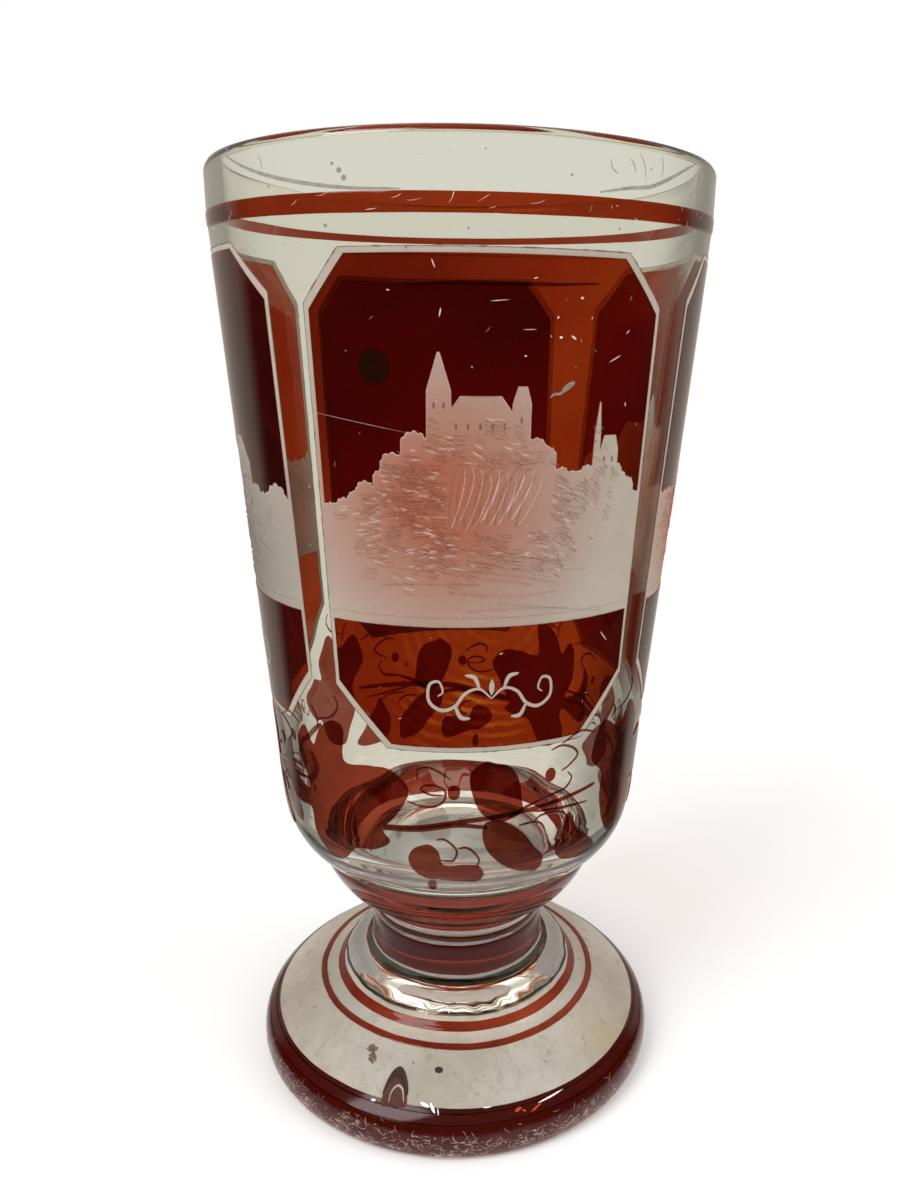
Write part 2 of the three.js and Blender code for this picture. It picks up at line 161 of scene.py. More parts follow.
# The cone is straight, so only what lies below and above it is rounded
CONE = np.linspace(OUTSIDE[CONE_START], OUTSIDE[CONE_START + 1], 50)[1:-1]
OUTER = np.vstack([smooth(OUTSIDE[: CONE_START + 1], 0.4), CONE, smooth(OUTSIDE[CONE_START + 1 :], 0.4)])
SLOPE = np.gradient(OUTER[:, 0], OUTER[:, 1])


def waviness(azimuth, height):
    """Small dents of hand work, in millimetres: gentle on the walls, strong on the tooled bead."""
    walls = 0.05 * np.sin(3 * azimuth + 0.04 * height) + 0.03 * np.sin(5 * azimuth - 0.07 * height + 2)
    bead = np.exp(-(((height - 14) / 1.5) ** 2))
    tooled = 0.12 * np.sin(7 * azimuth + height) + 0.07 * np.sin(17 * azimuth - height + 1)
    tooled = tooled + 0.04 * np.sin(31 * azimuth + 2 * height + 2 * np.sin(3 * azimuth))
    return walls + bead * tooled


def surface(azimuth, height, lift=0.0):
    """Points in metres on the outside of the glass, lifted square to it by so many millimetres."""
    turned = np.radians(azimuth)
    slope = np.interp(height, OUTER[:, 1], SLOPE)
    length = np.sqrt(1 + slope**2)
    radius = np.interp(height, OUTER[:, 1], OUTER[:, 0]) + waviness(turned, height) + lift / length
    level = height - lift * slope / length
    return np.stack([radius * np.sin(turned), -radius * np.cos(turned), level], -1) * MM


def level_at_radius(radius):
    """The level on the dome of the foot where the glass has this radius."""
    dome = OUTER[(OUTER[:, 1] > DOME_START) & (OUTER[:, 1] < FOOT_TOP)]
    return float(np.interp(-radius, -dome[:, 0], dome[:, 1]))


def circle():
    return np.linspace(0, 360, SEGMENTS, endpoint=False)


def plain_ring(radius, height):
    """A ring of points. The radius and the level are one number, or one for each point."""
    turned = np.radians(circle())
    level = np.full(SEGMENTS, height, dtype=float)
    return np.stack([radius * np.sin(turned), -radius * np.cos(turned), level], -1) * MM


def outer_ring(height, lift=0.0):
    """A ring on the outside of the glass, at one level or at one for each point."""
    return surface(circle(), np.full(SEGMENTS, height, dtype=float), lift)


def make_mesh(name, vertices, faces, slots=None):
    """A smooth mesh object with creases kept sharp."""
    mesh = bpy.data.meshes.new(name)
    mesh.from_pydata([tuple(v) for v in vertices], [], [tuple(f) for f in faces])
    mesh.update()
    if slots is not None:
        mesh.polygons.foreach_set("material_index", np.array(slots, dtype=np.int32))
    piece = bpy.data.objects.new(name, mesh)
    bpy.context.scene.collection.objects.link(piece)
    mesh.shade_smooth()
    mesh.set_sharp_from_angle(angle=math.radians(50))
    return piece


def lathe(name, rings, slots=None, closed=False):
    """A closed mesh through rings of points. A ring with one point is a pole on the axis."""
    starts = np.cumsum([0] + [len(ring) for ring in rings])
    pairs = list(zip(range(len(rings)), range(1, len(rings))))
    if closed:
        pairs.append((len(rings) - 1, 0))
    faces = []
    face_slots = []
    for number, (lower, upper) in enumerate(pairs):
        a, b = starts[lower], starts[upper]
        for j in range(SEGMENTS):
            k = (j + 1) % SEGMENTS
            if len(rings[lower]) == 1:
                faces.append((a, b + k, b + j))
            elif len(rings[upper]) == 1:
                faces.append((a + j, a + k, b))
            else:
                faces.append((a + j, a + k, b + k, b + j))
            face_slots.append(slots[number] if slots else 0)
    return make_mesh(name, np.vstack(rings), faces, face_slots)


def pole(height):
    return np.array([[0.0, 0.0, height * MM]])


def levels_between(low, high):
    """Levels of the outside from low to high, both included."""
    between = OUTER[(OUTER[:, 1] > low + 0.02) & (OUTER[:, 1] < high - 0.02), 1]
    return [low, *between, high]


def finish_piece(piece, slot, materials, *nodes):
    """Gives a piece its materials and its body, and hides the nodes that it stands for. slot is not used."""
    for material in materials:
        piece.data.materials.append(material)
    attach(piece, "root")
    if nodes:
        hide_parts(*nodes)
    return piece


# Materials

WHITE = (1, 1, 1, 1)
GLASS_IOR = 1.5
MATT_IOR = 1.3
FOOT_IOR = 1.45
RUBY_IOR = 1.36

# Two tints for each kind of glass, which a noise mixes
CLEAR_TINTS = (0.975, 0.975, 0.955, 1), (0.99, 0.985, 0.97, 1)
MATT_TINTS = (0.62, 0.56, 0.48, 1), (0.72, 0.65, 0.56, 1)
FOOT_TINTS = (0.66, 0.6, 0.5, 1), (0.89, 0.84, 0.74, 1)
PLATE_TINTS = (0.53, 0.14, 0.055, 1), (0.62, 0.21, 0.08, 1)
BAND_TINTS = (0.55, 0.16, 0.08, 1), (0.62, 0.22, 0.11, 1)
LEAF_TINTS = (0.5, 0.19, 0.14, 1), (0.62, 0.28, 0.2, 1)
RING_TINTS = (0.68, 0.28, 0.19, 1), (0.8, 0.44, 0.33, 1)
DRAWN_TINTS = (0.4, 0.09, 0.05, 1), (0.62, 0.24, 0.15, 1)
DEEP_TINTS = (0.44, 0.1, 0.05, 1), (0.5, 0.13, 0.065, 1)
SCUFFED_TINTS = (0.2, 0.08, 0.06, 1), (0.33, 0.21, 0.18, 1)

# Spots on the glass as [azimuth, height, reach], and the colours that are mixed in there.
# Painted pink light where ruby lies behind the matt glass, and painted shade on one side of it.
PAINTED_PINK_LIGHT_SPOTS = [(-12, 95, 24), (76, 90, 18), (170, 82, 16), (-104, 88, 18)]
PAINTED_PINK_LIGHT = (0.56, 0.15, 0.07, 1)
PAINTED_SHADED = (-84, 86, 26)
PAINTED_SHADE = (0.36, 0.32, 0.27, 1)
# The ruby layer is darker where it is thick, and has painted streaks of orange light refracted by the base
THICK_SPOTS = [(-40, 112, 24), (-20, 124, 19), (150, 118, 20)]
THICK = (0.42, 0.1, 0.05, 1)
PAINTED_SWIRLS = [(-3, 70, 14)]
PAINTED_SWIRL_ORANGE = (0.78, 0.42, 0.13, 1)
# The top of the foot has painted shade in places, and is yellowed in one
PAINTED_FOOT_SHADE_SPOTS = [(-82, 7.5, 14), (66, 7.5, 12), (178, 8, 14)]
PAINTED_FOOT_SHADE = (0.42, 0.36, 0.29, 1)
YELLOWED = (46, 7.2, 9)
YELLOW = (0.62, 0.48, 0.27, 1)
DIRT = (0.38, 0.3, 0.25, 1)
CRACK = (0.45, 0.36, 0.3, 1)
SMUDGE = (0.47, 0.4, 0.33, 1)


class Nodes:
    """A short way to write a node tree."""

    def __init__(self, tree):
        self.tree = tree
        tree.nodes.clear()

    def add(self, kind, values=None, **settings):
        """Adds a node. values holds sockets by name or number: a plain value, or another node's output."""
        node = self.tree.nodes.new("ShaderNode" + kind)
        for key, value in settings.items():
            setattr(node, key, value)
        for key, value in (values or {}).items():
            if isinstance(value, bpy.types.NodeSocket):
                self.tree.links.new(value, node.inputs[key])
            else:
                node.inputs[key].default_value = value
        return node

    def place(self):
        return self.add("TexCoord").outputs["Object"]

    def path(self):
        return self.add("LightPath").outputs

    def parts(self, vector):
        return self.add("SeparateXYZ", {0: vector}).outputs

    def noise(self, vector, scale, detail=3.0, roughness=0.5):
        values = {"Vector": vector, "Scale": scale, "Detail": detail, "Roughness": roughness}
        return self.add("TexNoise", values).outputs["Fac"]

    def range(self, value, low, high, to_low=0.0, to_high=1.0):
        values = {"Value": value, "From Min": low, "From Max": high, "To Min": to_low, "To Max": to_high}
        return self.add("MapRange", values).outputs["Result"]

    def maths(self, operation, a, b=0.0):
        return self.add("Math", {0: a, 1: b}, operation=operation).outputs[0]

    def vectors(self, operation, *values, result="Vector"):
        node = self.add("VectorMath", dict(enumerate(values)), operation=operation)
        return node.outputs[result]

    def colours(self, factor, first, second):
        return self.add("Mix", {0: factor, 6: first, 7: second}, data_type="RGBA").outputs[2]

    def bump(self, height, strength, distance, **under):
        """A normal with relief. A normal given as Normal=... lies under it."""
        values = {"Height": height, "Strength": strength, "Distance": distance, **under}
        return self.add("Bump", values).outputs["Normal"]

    def shader(self, kind, **values):
        return self.add(kind, values).outputs[0]

    def blend(self, factor, first, second):
        """A mix of two shaders."""
        return self.add("MixShader", {0: factor, 1: first, 2: second}).outputs[0]

    def output(self, shader, kind="OutputMaterial"):
        self.add(kind, {"Surface": shader})


def new_material(name):
    material = bpy.data.materials.new(name)
    material.use_nodes = True
    return material, Nodes(material.node_tree)


def lets_lamps_through(nodes, shader, share):
    """Light Path trick: a lamp's light passes clear glass without being bent."""
    straight = nodes.shader("BsdfTransparent", Color=(share, share, share * 0.98, 1))
    return nodes.blend(nodes.path()["Is Shadow Ray"], shader, straight)


def make_clear_glass():
    material, nodes = new_material("clear_glass")
    place = nodes.place()
    tint = nodes.colours(nodes.noise(place, 60, 2), *CLEAR_TINTS)
    normal = nodes.bump(nodes.noise(place, 35, 1), 0.05, 0.001)
    glass = nodes.shader("BsdfGlass", Color=tint, Roughness=0.0, IOR=GLASS_IOR, Normal=normal)
    nodes.output(lets_lamps_through(nodes, glass, 0.9))
    return material


def make_joint():
    """The hot joint between two gathers, which doesn't show."""
    material, nodes = new_material("fused_joint")
    nodes.output(nodes.shader("BsdfTransparent", Color=WHITE))
    return material


def near_spot(nodes, place, azimuth, height, reach):
    """1 at a spot on the glass and 0 from a reach in millimetres onwards."""
    spot = tuple(float(c) for c in surface(azimuth, height))
    away = nodes.vectors("DISTANCE", place, spot, result="Value")
    return nodes.range(away, 0.2 * reach * MM, reach * MM, 1, 0)


def tinged(nodes, place, tint, spot, strength, colour):
    """A tint with a colour mixed in near a spot."""
    share = nodes.maths("MULTIPLY", near_spot(nodes, place, *spot), strength)
    return nodes.colours(share, tint, colour)


def make_matt_glass():
    """Wheel-cut glass with painted pink light where ruby lies behind it, and painted shade on one side."""
    material, nodes = new_material("matt_glass")
    place = nodes.place()
    grain = nodes.noise(place, 2600, 4, 0.7)
    cloud = nodes.noise(place, 120, 4)
    tint = nodes.colours(cloud, *MATT_TINTS)
    # Painted pink light near the spots where ruby lies behind
    for spot in PAINTED_PINK_LIGHT_SPOTS:
        tint = tinged(nodes, place, tint, spot, 0.85, PAINTED_PINK_LIGHT)
    # Painted shade on one side of the matt glass
    tint = tinged(nodes, place, tint, PAINTED_SHADED, 0.95, PAINTED_SHADE)
    roughness = nodes.range(cloud, 0.3, 0.7, 0.6, 0.75)
    leafy = nodes.bump(nodes.noise(place, 650, 2, 0.6), 0.5, 0.0004)
    normal = nodes.bump(grain, 0.6, 0.0001, Normal=leafy)
    rough = nodes.shader("BsdfGlass", Color=tint, Roughness=roughness, IOR=MATT_IOR, Normal=normal)
    chalk = nodes.shader("BsdfDiffuse", Color=tint, Normal=normal)
    glow = nodes.shader("BsdfTranslucent", Color=tint, Normal=normal)
    nodes.output(nodes.blend(0.82, rough, nodes.blend(0.4, chalk, glow)))
    return material


def cracks_share(nodes, place):
    """A net of fine cracks, broken up by a noise."""
    bent = nodes.add("TexNoise", {"Vector": place, "Scale": 250.0, "Detail": 3.0}).outputs["Color"]
    bent = nodes.vectors("ADD", place, nodes.vectors("MULTIPLY", bent, (0.007, 0.007, 0.007)))
    cells = nodes.add("TexVoronoi", {"Vector": bent, "Scale": 210.0}, feature="DISTANCE_TO_EDGE")
    broken = nodes.range(nodes.noise(place, 130, 2), 0.42, 0.66, 0, 0.22)
    return nodes.maths("MULTIPLY", nodes.range(cells.outputs["Distance"], 0.01, 0.06, 1, 0), broken)


def make_foot_matt():
    """The ground top of the foot: satin, with dirt, fine cracks, smudges, painted shade in places and a
    yellowed one.
    """
    material, nodes = new_material("foot_matt_glass")
    place = nodes.place()
    grain = nodes.noise(place, 1500, 5, 0.75)
    cloud = nodes.noise(place, 70, 4)
    tint = nodes.colours(nodes.range(cloud, 0.3, 0.7), *FOOT_TINTS)
    dirt = nodes.range(nodes.noise(place, 420, 6, 0.8), 0.56, 0.72, 0, 0.55)
    tint = nodes.colours(dirt, tint, DIRT)
    tint = nodes.colours(cracks_share(nodes, place), tint, CRACK)
    smudges = nodes.range(nodes.noise(place, 150, 6, 0.75), 0.45, 0.7, 0, 0.42)
    tint = nodes.colours(smudges, tint, SMUDGE)
    # Painted shade at the sides and the back of the foot's top
    for spot in PAINTED_FOOT_SHADE_SPOTS:
        tint = tinged(nodes, place, tint, spot, nodes.range(cloud, 0.3, 0.7, 0.7, 0.3), PAINTED_FOOT_SHADE)
    tint = tinged(nodes, place, tint, YELLOWED, 0.55, YELLOW)
    normal = nodes.bump(grain, 0.7, 0.0002)
    roughness = nodes.range(cloud, 0.3, 0.7, 0.28, 0.5)
    rough = nodes.shader("BsdfGlass", Color=tint, Roughness=roughness, IOR=FOOT_IOR, Normal=normal)
    chalk = nodes.shader("BsdfDiffuse", Color=tint, Normal=normal)
    nodes.output(nodes.blend(0.4, rough, chalk))
    return material


def ruby_layer(nodes, tint, roughness):
    """Glass that filters what passes, and whose outer face mirrors a little."""
    filtered = nodes.shader("BsdfTransparent", Color=tint)
    gloss = nodes.shader("BsdfGlossy", Color=WHITE, Roughness=roughness)
    edge = nodes.add("Fresnel", {"IOR": RUBY_IOR}).outputs[0]
    inner_face = nodes.add("NewGeometry").outputs["Backfacing"]
    edge = nodes.maths("MULTIPLY", edge, nodes.maths("SUBTRACT", 1.0, inner_face))
    return nodes.blend(edge, filtered, gloss)


def painted_swirl_share(nodes, place, azimuth, height, reach):
    """Curved streaks of painted light, refracted by the base of the bowl, strongest at their middle."""
    centre = tuple(float(c) for c in surface(azimuth + 3, height + 0.7 * reach))
    around = nodes.vectors("SUBTRACT", place, centre)
    values = {"Vector": around, "Scale": 190.0, "Distortion": 7.0, "Detail": 3.0, "Detail Scale": 0.6}
    wave = nodes.add("TexWave", values, wave_type="RINGS", rings_direction="Y").outputs["Fac"]
    broken = nodes.range(nodes.noise(place, 130, 2), 0.42, 0.6, 0.1, 0.8)
    streaks = nodes.maths("MULTIPLY", nodes.range(wave, 0.4, 0.95), broken)
    return nodes.maths("MULTIPLY", streaks, near_spot(nodes, place, azimuth, height, reach))


def make_ruby(name, tints, thick_spots=(), painted_swirls=(), streaks=(1, 1, 1), scale=45):
    """A thin ruby layer, cloudy or drawn out in streaks, darker at some spots and with painted swirls of
    light at others.
    """
    material, nodes = new_material(name)
    place = nodes.place()
    drawn = nodes.vectors("MULTIPLY", place, streaks)
    tint = nodes.colours(nodes.range(nodes.noise(drawn, scale, 3), 0.3, 0.7), *tints)
    for spot in thick_spots:
        tint = tinged(nodes, place, tint, spot, 0.8, THICK)
    # Painted orange swirls of refracted light
    for painted_swirl in painted_swirls:
        tint = nodes.colours(painted_swirl_share(nodes, place, *painted_swirl), tint, PAINTED_SWIRL_ORANGE)
    roughness = nodes.range(nodes.noise(place, 300, 3), 0.3, 0.7, 0.03, 0.12)
    nodes.output(ruby_layer(nodes, tint, roughness))
    return material


def make_worn_ruby():
    """Ruby that the table has scuffed grey near its lower edge."""
    material, nodes = new_material("worn_ruby_glass")
    place = nodes.place()
    cloud = nodes.noise(place, 45, 3)
    layer = ruby_layer(nodes, nodes.colours(cloud, *DEEP_TINTS), 0.12)
    low = nodes.range(nodes.parts(place)["Z"], 1.5 * MM, 5 * MM, 1, 0)
    scuffs = nodes.range(nodes.noise(place, 800, 6, 0.8), 0.46, 0.68, 0, 0.42)
    matt = nodes.shader("BsdfDiffuse", Color=nodes.colours(cloud, *SCUFFED_TINTS))
    nodes.output(nodes.blend(nodes.maths("MULTIPLY", low, scuffs), layer, matt))
    return material


def cloudy(nodes, cloud, colour, dimmest):
    """A colour that a noise dims in places."""
    darker = tuple(c * dimmest for c in colour) + (1,)
    return nodes.colours(cloud, darker, (*colour, 1))


def make_smoked(name, colour):
    """A dark place in the ruby seen against the light, or a painted dark reflection on clear glass."""
    material, nodes = new_material(name)
    tint = cloudy(nodes, nodes.noise(nodes.place(), 700, 4, 0.7), colour, 0.6)
    nodes.output(nodes.shader("BsdfTransparent", Color=tint))
    return material


def make_mark(name, colour, share):
    """A fine mark on the glass, only partly opaque."""
    material, nodes = new_material(name)
    cloud = nodes.noise(nodes.place(), 900, 3)
    matt = nodes.shader("BsdfDiffuse", Color=cloudy(nodes, cloud, colour, 0.75), Roughness=0.5)
    clear = nodes.shader("BsdfTransparent", Color=WHITE)
    opacity = nodes.range(cloud, 0.3, 0.7, share * 0.7, min(1, share * 1.2))
    nodes.output(nodes.blend(opacity, clear, matt))
    return material


CLEAR = make_clear_glass()
JOINT = make_joint()
MATT = make_matt_glass()
FOOT_MATT = make_foot_matt()
RUBY = make_ruby("ruby_glass", PLATE_TINTS, THICK_SPOTS, PAINTED_SWIRLS)
BAND_RUBY = make_ruby("band_ruby_glass", BAND_TINTS)
LEAF_RUBY = make_ruby("leaf_ruby_glass", LEAF_TINTS)
RING_RUBY = make_ruby("ring_ruby_glass", RING_TINTS)
DRAWN_RUBY = make_ruby("drawn_ruby_glass", DRAWN_TINTS, streaks=(0.12, 0.12, 4), scale=60)
WORN_RUBY = make_worn_ruby()
PALE_CUT = make_mark("pale_cut", (0.92, 0.75, 0.65), 0.21)
PALE_EDGE = make_mark("pale_edge", (0.93, 0.8, 0.72), 0.45)
DARK_CUT = make_mark("dark_cut", (0.42, 0.22, 0.17), 0.17)
DARK_EDGE = make_mark("dark_edge", (0.16, 0.08, 0.06), 0.55)
CUT_WINDOW = make_mark("cut_window", (0.3, 0.16, 0.12), 0.6)
WORM_GREY = make_mark("worm_grey", (0.36, 0.29, 0.24), 0.75)
SMOKED = make_mark("smoked_spot", (0.014, 0.005, 0.002), 0.72)
STREAKED = make_smoked("dark_streak", (0.7, 0.6, 0.6))
# Dark lines in the foot's edge, and painted dark reflections over the bead and under it
DARK_LINES_AND_PAINTED_REFLECTIONS = make_smoked("dark_lines_and_painted_reflections", (0.62, 0.6, 0.56))
RIM_SMOKE = make_mark("rim_smoke", (0.3, 0.27, 0.22), 0.5)
BROWN = make_mark("brown_mark", (0.2, 0.13, 0.09), 0.5)
# Painted highlights and painted reddish glints
PAINTED_HIGHLIGHT = make_mark("painted_highlight", (1, 1, 0.98), 0.95)
PAINTED_RED_GLINT = make_mark("painted_red_glint", (0.85, 0.13, 0.04), 0.5)
SCRATCH = make_mark("scratch", (0.93, 0.88, 0.84), 0.75)
SCUFF = make_mark("scuff", (0.76, 0.6, 0.52), 0.6)
FAINT_SCRATCH = make_mark("faint_scratch", (0.75, 0.66, 0.6), 0.45)
WORN_RED = make_mark("worn_red", (0.45, 0.16, 0.13), 0.5)
CHIP_DARK = make_mark("chip_dark", (0.06, 0.04, 0.032), 0.85)
BUBBLE = make_mark("bubble", (0.3, 0.28, 0.25), 0.6)
CHIPPED = make_mark("chipped", (0.13, 0.055, 0.045), 0.8)


# The four gathers of clear glass


def make_foot():
    hollow = [[HOLLOW_RADIUS * 0.4, HOLLOW_DEPTH * 0.85], [HOLLOW_RADIUS * 0.75, 0.45], [HOLLOW_RADIUS, 0]]
    rings = [pole(HOLLOW_DEPTH)]
    rings += [plain_ring(radius, height) for radius, height in smooth(hollow, 1)]
    rings.append(plain_ring(UNDERSIDE_RADIUS, 0))
    matt_low = FOOT_EDGE_BAND[1]
    matt_high = level_at_radius(MATT_RADIUS)
    levels = levels_between(0, matt_low)[:-1] + levels_between(matt_low, matt_high)[:-1]
    levels += levels_between(matt_high, FOOT_TOP)
    slots = [0] * len(rings)
    for level in levels:
        rings.append(outer_ring(level))
        slots.append(2 if matt_low <= level < matt_high else 0)
    rings.append(pole(FOOT_TOP))
    slots[-1] = 1
    return finish_piece(lathe("foot_glass", rings, slots), "matt_glass", [CLEAR, JOINT, FOOT_MATT], "foot")


def make_column(name, low, high, node):
    rings = [pole(low)] + [outer_ring(level) for level in levels_between(low, high)] + [pole(high)]
    slots = [1] + [0] * (len(rings) - 3) + [1]
    return finish_piece(lathe(name, rings, slots), "clear_glass", [CLEAR, JOINT], node)


def inner_radius(height):
    share = (height - FLOOR_LEVEL) / (LIP_LEVEL - FLOOR_LEVEL)
    wall = BASE_WALL + (WALL - BASE_WALL) * share
    return np.interp(height, OUTER[:, 1], OUTER[:, 0]) - wall


def inner_dents(azimuth, height):
    """Dents of the inner wall in millimetres: broad ones, and curved streaks behind the captions."""
    broad = 0.07 * np.sin(2 * azimuth + 0.05 * height)
    streaked = math.exp(-(((height - 60) / 13) ** 2))
    streaks = np.sin(0.85 * height + 2.2 * np.cos(2 * azimuth) + 0.8 * np.sin(7 * azimuth))
    return broad + 0.035 * streaked * streaks


def lip_rounding():
    """The radius of the lip's rounding, and how far its middle is from the axis."""
    radius = (OUTSIDE[-1][0] - inner_radius(LIP_LEVEL)) / 2
    return radius, OUTSIDE[-1][0] - radius


def lip_rings(count=12):
    """The rings over the lip, from the outside in."""
    lip_radius, middle = lip_rounding()
    rings = []
    for angle in np.linspace(0, math.pi, count + 2)[1:-1]:
        level = LIP_LEVEL + (RIM_LEVEL - LIP_LEVEL) * math.sin(angle)
        rings.append(plain_ring(middle + lip_radius * math.cos(angle), level))
    return rings


def inner_rings(wall_foot, count=180):
    """The rings of the inner wall, from the lip down to the rounding of the floor."""
    rings = []
    for height in np.linspace(LIP_LEVEL, wall_foot, count):
        fade = min(1, (LIP_LEVEL - height) / 6, (height - wall_foot) / 4)
        dent = fade * inner_dents(np.radians(circle()), height)
        ring = plain_ring(inner_radius(height), height)
        rings.append(ring * (1 + dent[:, None] / UNROLLED_RADIUS * np.array([1, 1, 0])))
    return rings


def floor_rings(wall_foot, count=12):
    """The rings of the rounding and of the flat floor."""
    corner = inner_radius(wall_foot) - FLOOR_ROUND
    rings = []
    for angle in np.linspace(0, math.pi / 2, count)[1:]:
        level = wall_foot - FLOOR_ROUND * math.sin(angle)
        rings.append(plain_ring(corner + FLOOR_ROUND * math.cos(angle), level))
    return rings + [plain_ring(corner * share, FLOOR_LEVEL) for share in (0.75, 0.5, 0.25)]


def make_bowl():
    wall_foot = FLOOR_LEVEL + FLOOR_ROUND
    outside = [outer_ring(level) for level in levels_between(COLLAR_TOP, LIP_LEVEL)]
    inside_rings = inner_rings(wall_foot) + floor_rings(wall_foot)
    rings = [pole(COLLAR_TOP), *outside, *lip_rings(), *inside_rings, pole(FLOOR_LEVEL)]
    slots = [1] + [0] * (len(rings) - 2)
    return finish_piece(lathe("bowl_glass", rings, slots), "clear_glass", [CLEAR, JOINT], "bowl")


# Ruby bands


def ragged(seed, amount):
    """An uneven edge all round the glass."""
    chance = random.Random(seed)
    turned = np.radians(circle())
    waves = np.zeros(SEGMENTS)
    for frequency in (2, 5, 11, 23, 47):
        waves += np.sin(frequency * turned + chance.uniform(0, 2 * math.pi)) / frequency**0.5
    return amount * waves / 2


def make_band(name, low, high, nodes, seed, amount=0.06, steps=10, material=BAND_RUBY, rise=(0, 0)):
    """A ring of ruby layer between two levels, with uneven edges that may rise towards the back."""
    back = 0.5 - 0.5 * np.cos(np.radians(circle() - CAMERA_AZIMUTH))
    lower = low + ragged(seed, amount) + back * rise[0]
    upper = high + ragged(seed + 1, amount) + back * rise[1]
    shares = np.linspace(0, 1, steps + 1)
    rings = []
    for share in shares:
        swell = RUBY_THICKNESS * (1 - abs(2 * share - 1) ** 6)
        rings.append(outer_ring(lower + (upper - lower) * share, RUBY_LIFT + 0.02 + swell))
    for share in shares[::-1]:
        rings.append(outer_ring(lower + (upper - lower) * share, RUBY_LIFT))
    return finish_piece(lathe(name, rings, closed=True), "ruby_glass", [material], *nodes)


def make_ring(name, radii, seed):
    """A ring of ruby on the dome of the foot, between two radii."""
    levels = [level_at_radius(radius) for radius in radii]
    make_band(f"{name}_layer", *levels, [name], seed, 0.04, 6, RING_RUBY)


def make_bands():
    make_band("foot_edge_layer", *FOOT_EDGE_BAND, ["foot_edge_band"], 11, 0.08, material=WORN_RUBY)
    make_ring("foot_outer_ring", OUTER_RING_RADII, 12)
    make_ring("foot_inner_ring", INNER_RING_RADII, 13)
    make_band("stem_layer", STEM_BAND[0], STEM_GROOVE[0], ["stem_band"], 14, 0.12, 16, DRAWN_RUBY)
    make_band("stem_upper_layer", STEM_GROOVE[1], STEM_BAND[1], [], 17)
    make_band("collar_layer", *COLLAR_BAND, ["collar_band"], 15, 0.05, 24, DRAWN_RUBY)
    # Painted dark reflections in the fillet and on the bead, and a trace of ruby
    make_band("fillet_painted_dark", *FILLET_PAINTED_DARK, [], 18, 0.12, material=DARK_LINES_AND_PAINTED_REFLECTIONS)
    make_band("fillet_line", *FILLET_LINE, [], 19, 0.09, 4)
    make_band("bead_painted_dark", *BEAD_PAINTED_DARK, [], 21, 0.1, 4, DARK_LINES_AND_PAINTED_REFLECTIONS)
    for number, levels in enumerate(EDGE_LINES):
        make_band(f"edge_line_{number + 1}", *levels, [], 22 + number, 0.08, 4, DARK_LINES_AND_PAINTED_REFLECTIONS)
    make_band("rim_layer", *RIM_BAND, ["rim_band"], 16, rise=RIM_BAND_RISE)


# Plates of ruby or matt skin, cut to an outline of [azimuth, height]


def unroll(outline):
    points = np.array(outline, float)
    return np.stack([np.radians(points[:, 0]) * UNROLLED_RADIUS, points[:, 1]], -1)


def densify(flat, step):
    """Adds points to an outline so that none of its sides is longer than step."""
    points = []
    for a, b in zip(flat, np.roll(flat, -1, axis=0)):
        count = max(1, math.ceil(np.linalg.norm(b - a) / step))
        points += [a + (b - a) * k / count for k in range(count)]
    return np.array(points)


def inside(flat, points):
    """Even-odd test: which points lie inside the outline."""
    result = np.zeros(len(points), bool)
    for (x0, y0), (x1, y1) in zip(flat, np.roll(flat, -1, axis=0)):
        if y0 == y1:
            continue
        crosses = (y0 > points[:, 1]) != (y1 > points[:, 1])
        result ^= crosses & (points[:, 0] < x0 + (points[:, 1] - y0) * (x1 - x0) / (y1 - y0))
    return result


def filled(loops, points):
    """Which points lie inside the first loop and outside the others."""
    kept = inside(loops[0], points)
    for hole in loops[1:]:
        kept &= ~inside(hole, points)
    return kept


def staggered_grid(low, high, step):
    """Points in rows, every other row moved by half a step."""
    columns, rows = np.meshgrid(np.arange(low[0], high[0], step), np.arange(low[1], high[1], step))
    grid = np.stack([columns, rows], -1).reshape(-1, 2)
    grid[:, 0] += np.where(np.round((grid[:, 1] - low[1]) / step) % 2 == 0, 0, step / 2)
    return grid


def triangulate(outline, holes, step):
    """Points and triangles that fill an outline without its holes, in unrolled millimetres."""
    loops = [densify(unroll(loop), step) for loop in [outline, *holes]]
    edges = []
    start = 0
    for loop in loops:
        edges += [(start + i, start + (i + 1) % len(loop)) for i in range(len(loop))]
        start += len(loop)
    grid = staggered_grid(loops[0].min(0), loops[0].max(0), step)
    points = [Vector(p) for p in np.vstack([*loops, grid[filled(loops, grid)]])]
    found, _, triangles, *_ = delaunay_2d_cdt(points, edges, [], 0, 1e-4)
    found = np.array([tuple(p) for p in found])
    triangles = np.array(triangles)
    return found, triangles[filled(loops, found[triangles].mean(1))]


def thicken(name, flat, triangles, lift, thickness):
    """A closed plate that follows the glass, from triangles in unrolled millimetres."""
    azimuth = np.degrees(flat[:, 0] / UNROLLED_RADIUS)
    height = flat[:, 1]
    upper = surface(azimuth, height, lift + thickness)
    lower = surface(azimuth, height, lift)
    count = len(flat)
    sides = {}
    for a, b, c in triangles.tolist():
        for pair in ((a, b), (b, c), (c, a)):
            if pair[::-1] in sides:
                del sides[pair[::-1]]
            else:
                sides[pair] = True
    faces = [tuple(t) for t in triangles.tolist()]
    faces += [(c + count, b + count, a + count) for a, b, c in triangles.tolist()]
    faces += [(b, a, a + count, b + count) for a, b in sides]
    return make_mesh(name, np.vstack([upper, lower]), faces)


def make_plate(name, outline, holes=(), step=1.0, lift=RUBY_LIFT, thickness=RUBY_THICKNESS):
    """A plate within an outline. step is the size of its mesh."""
    flat, triangles = triangulate(outline, holes, step)
    return thicken(name, flat, triangles, lift, thickness)


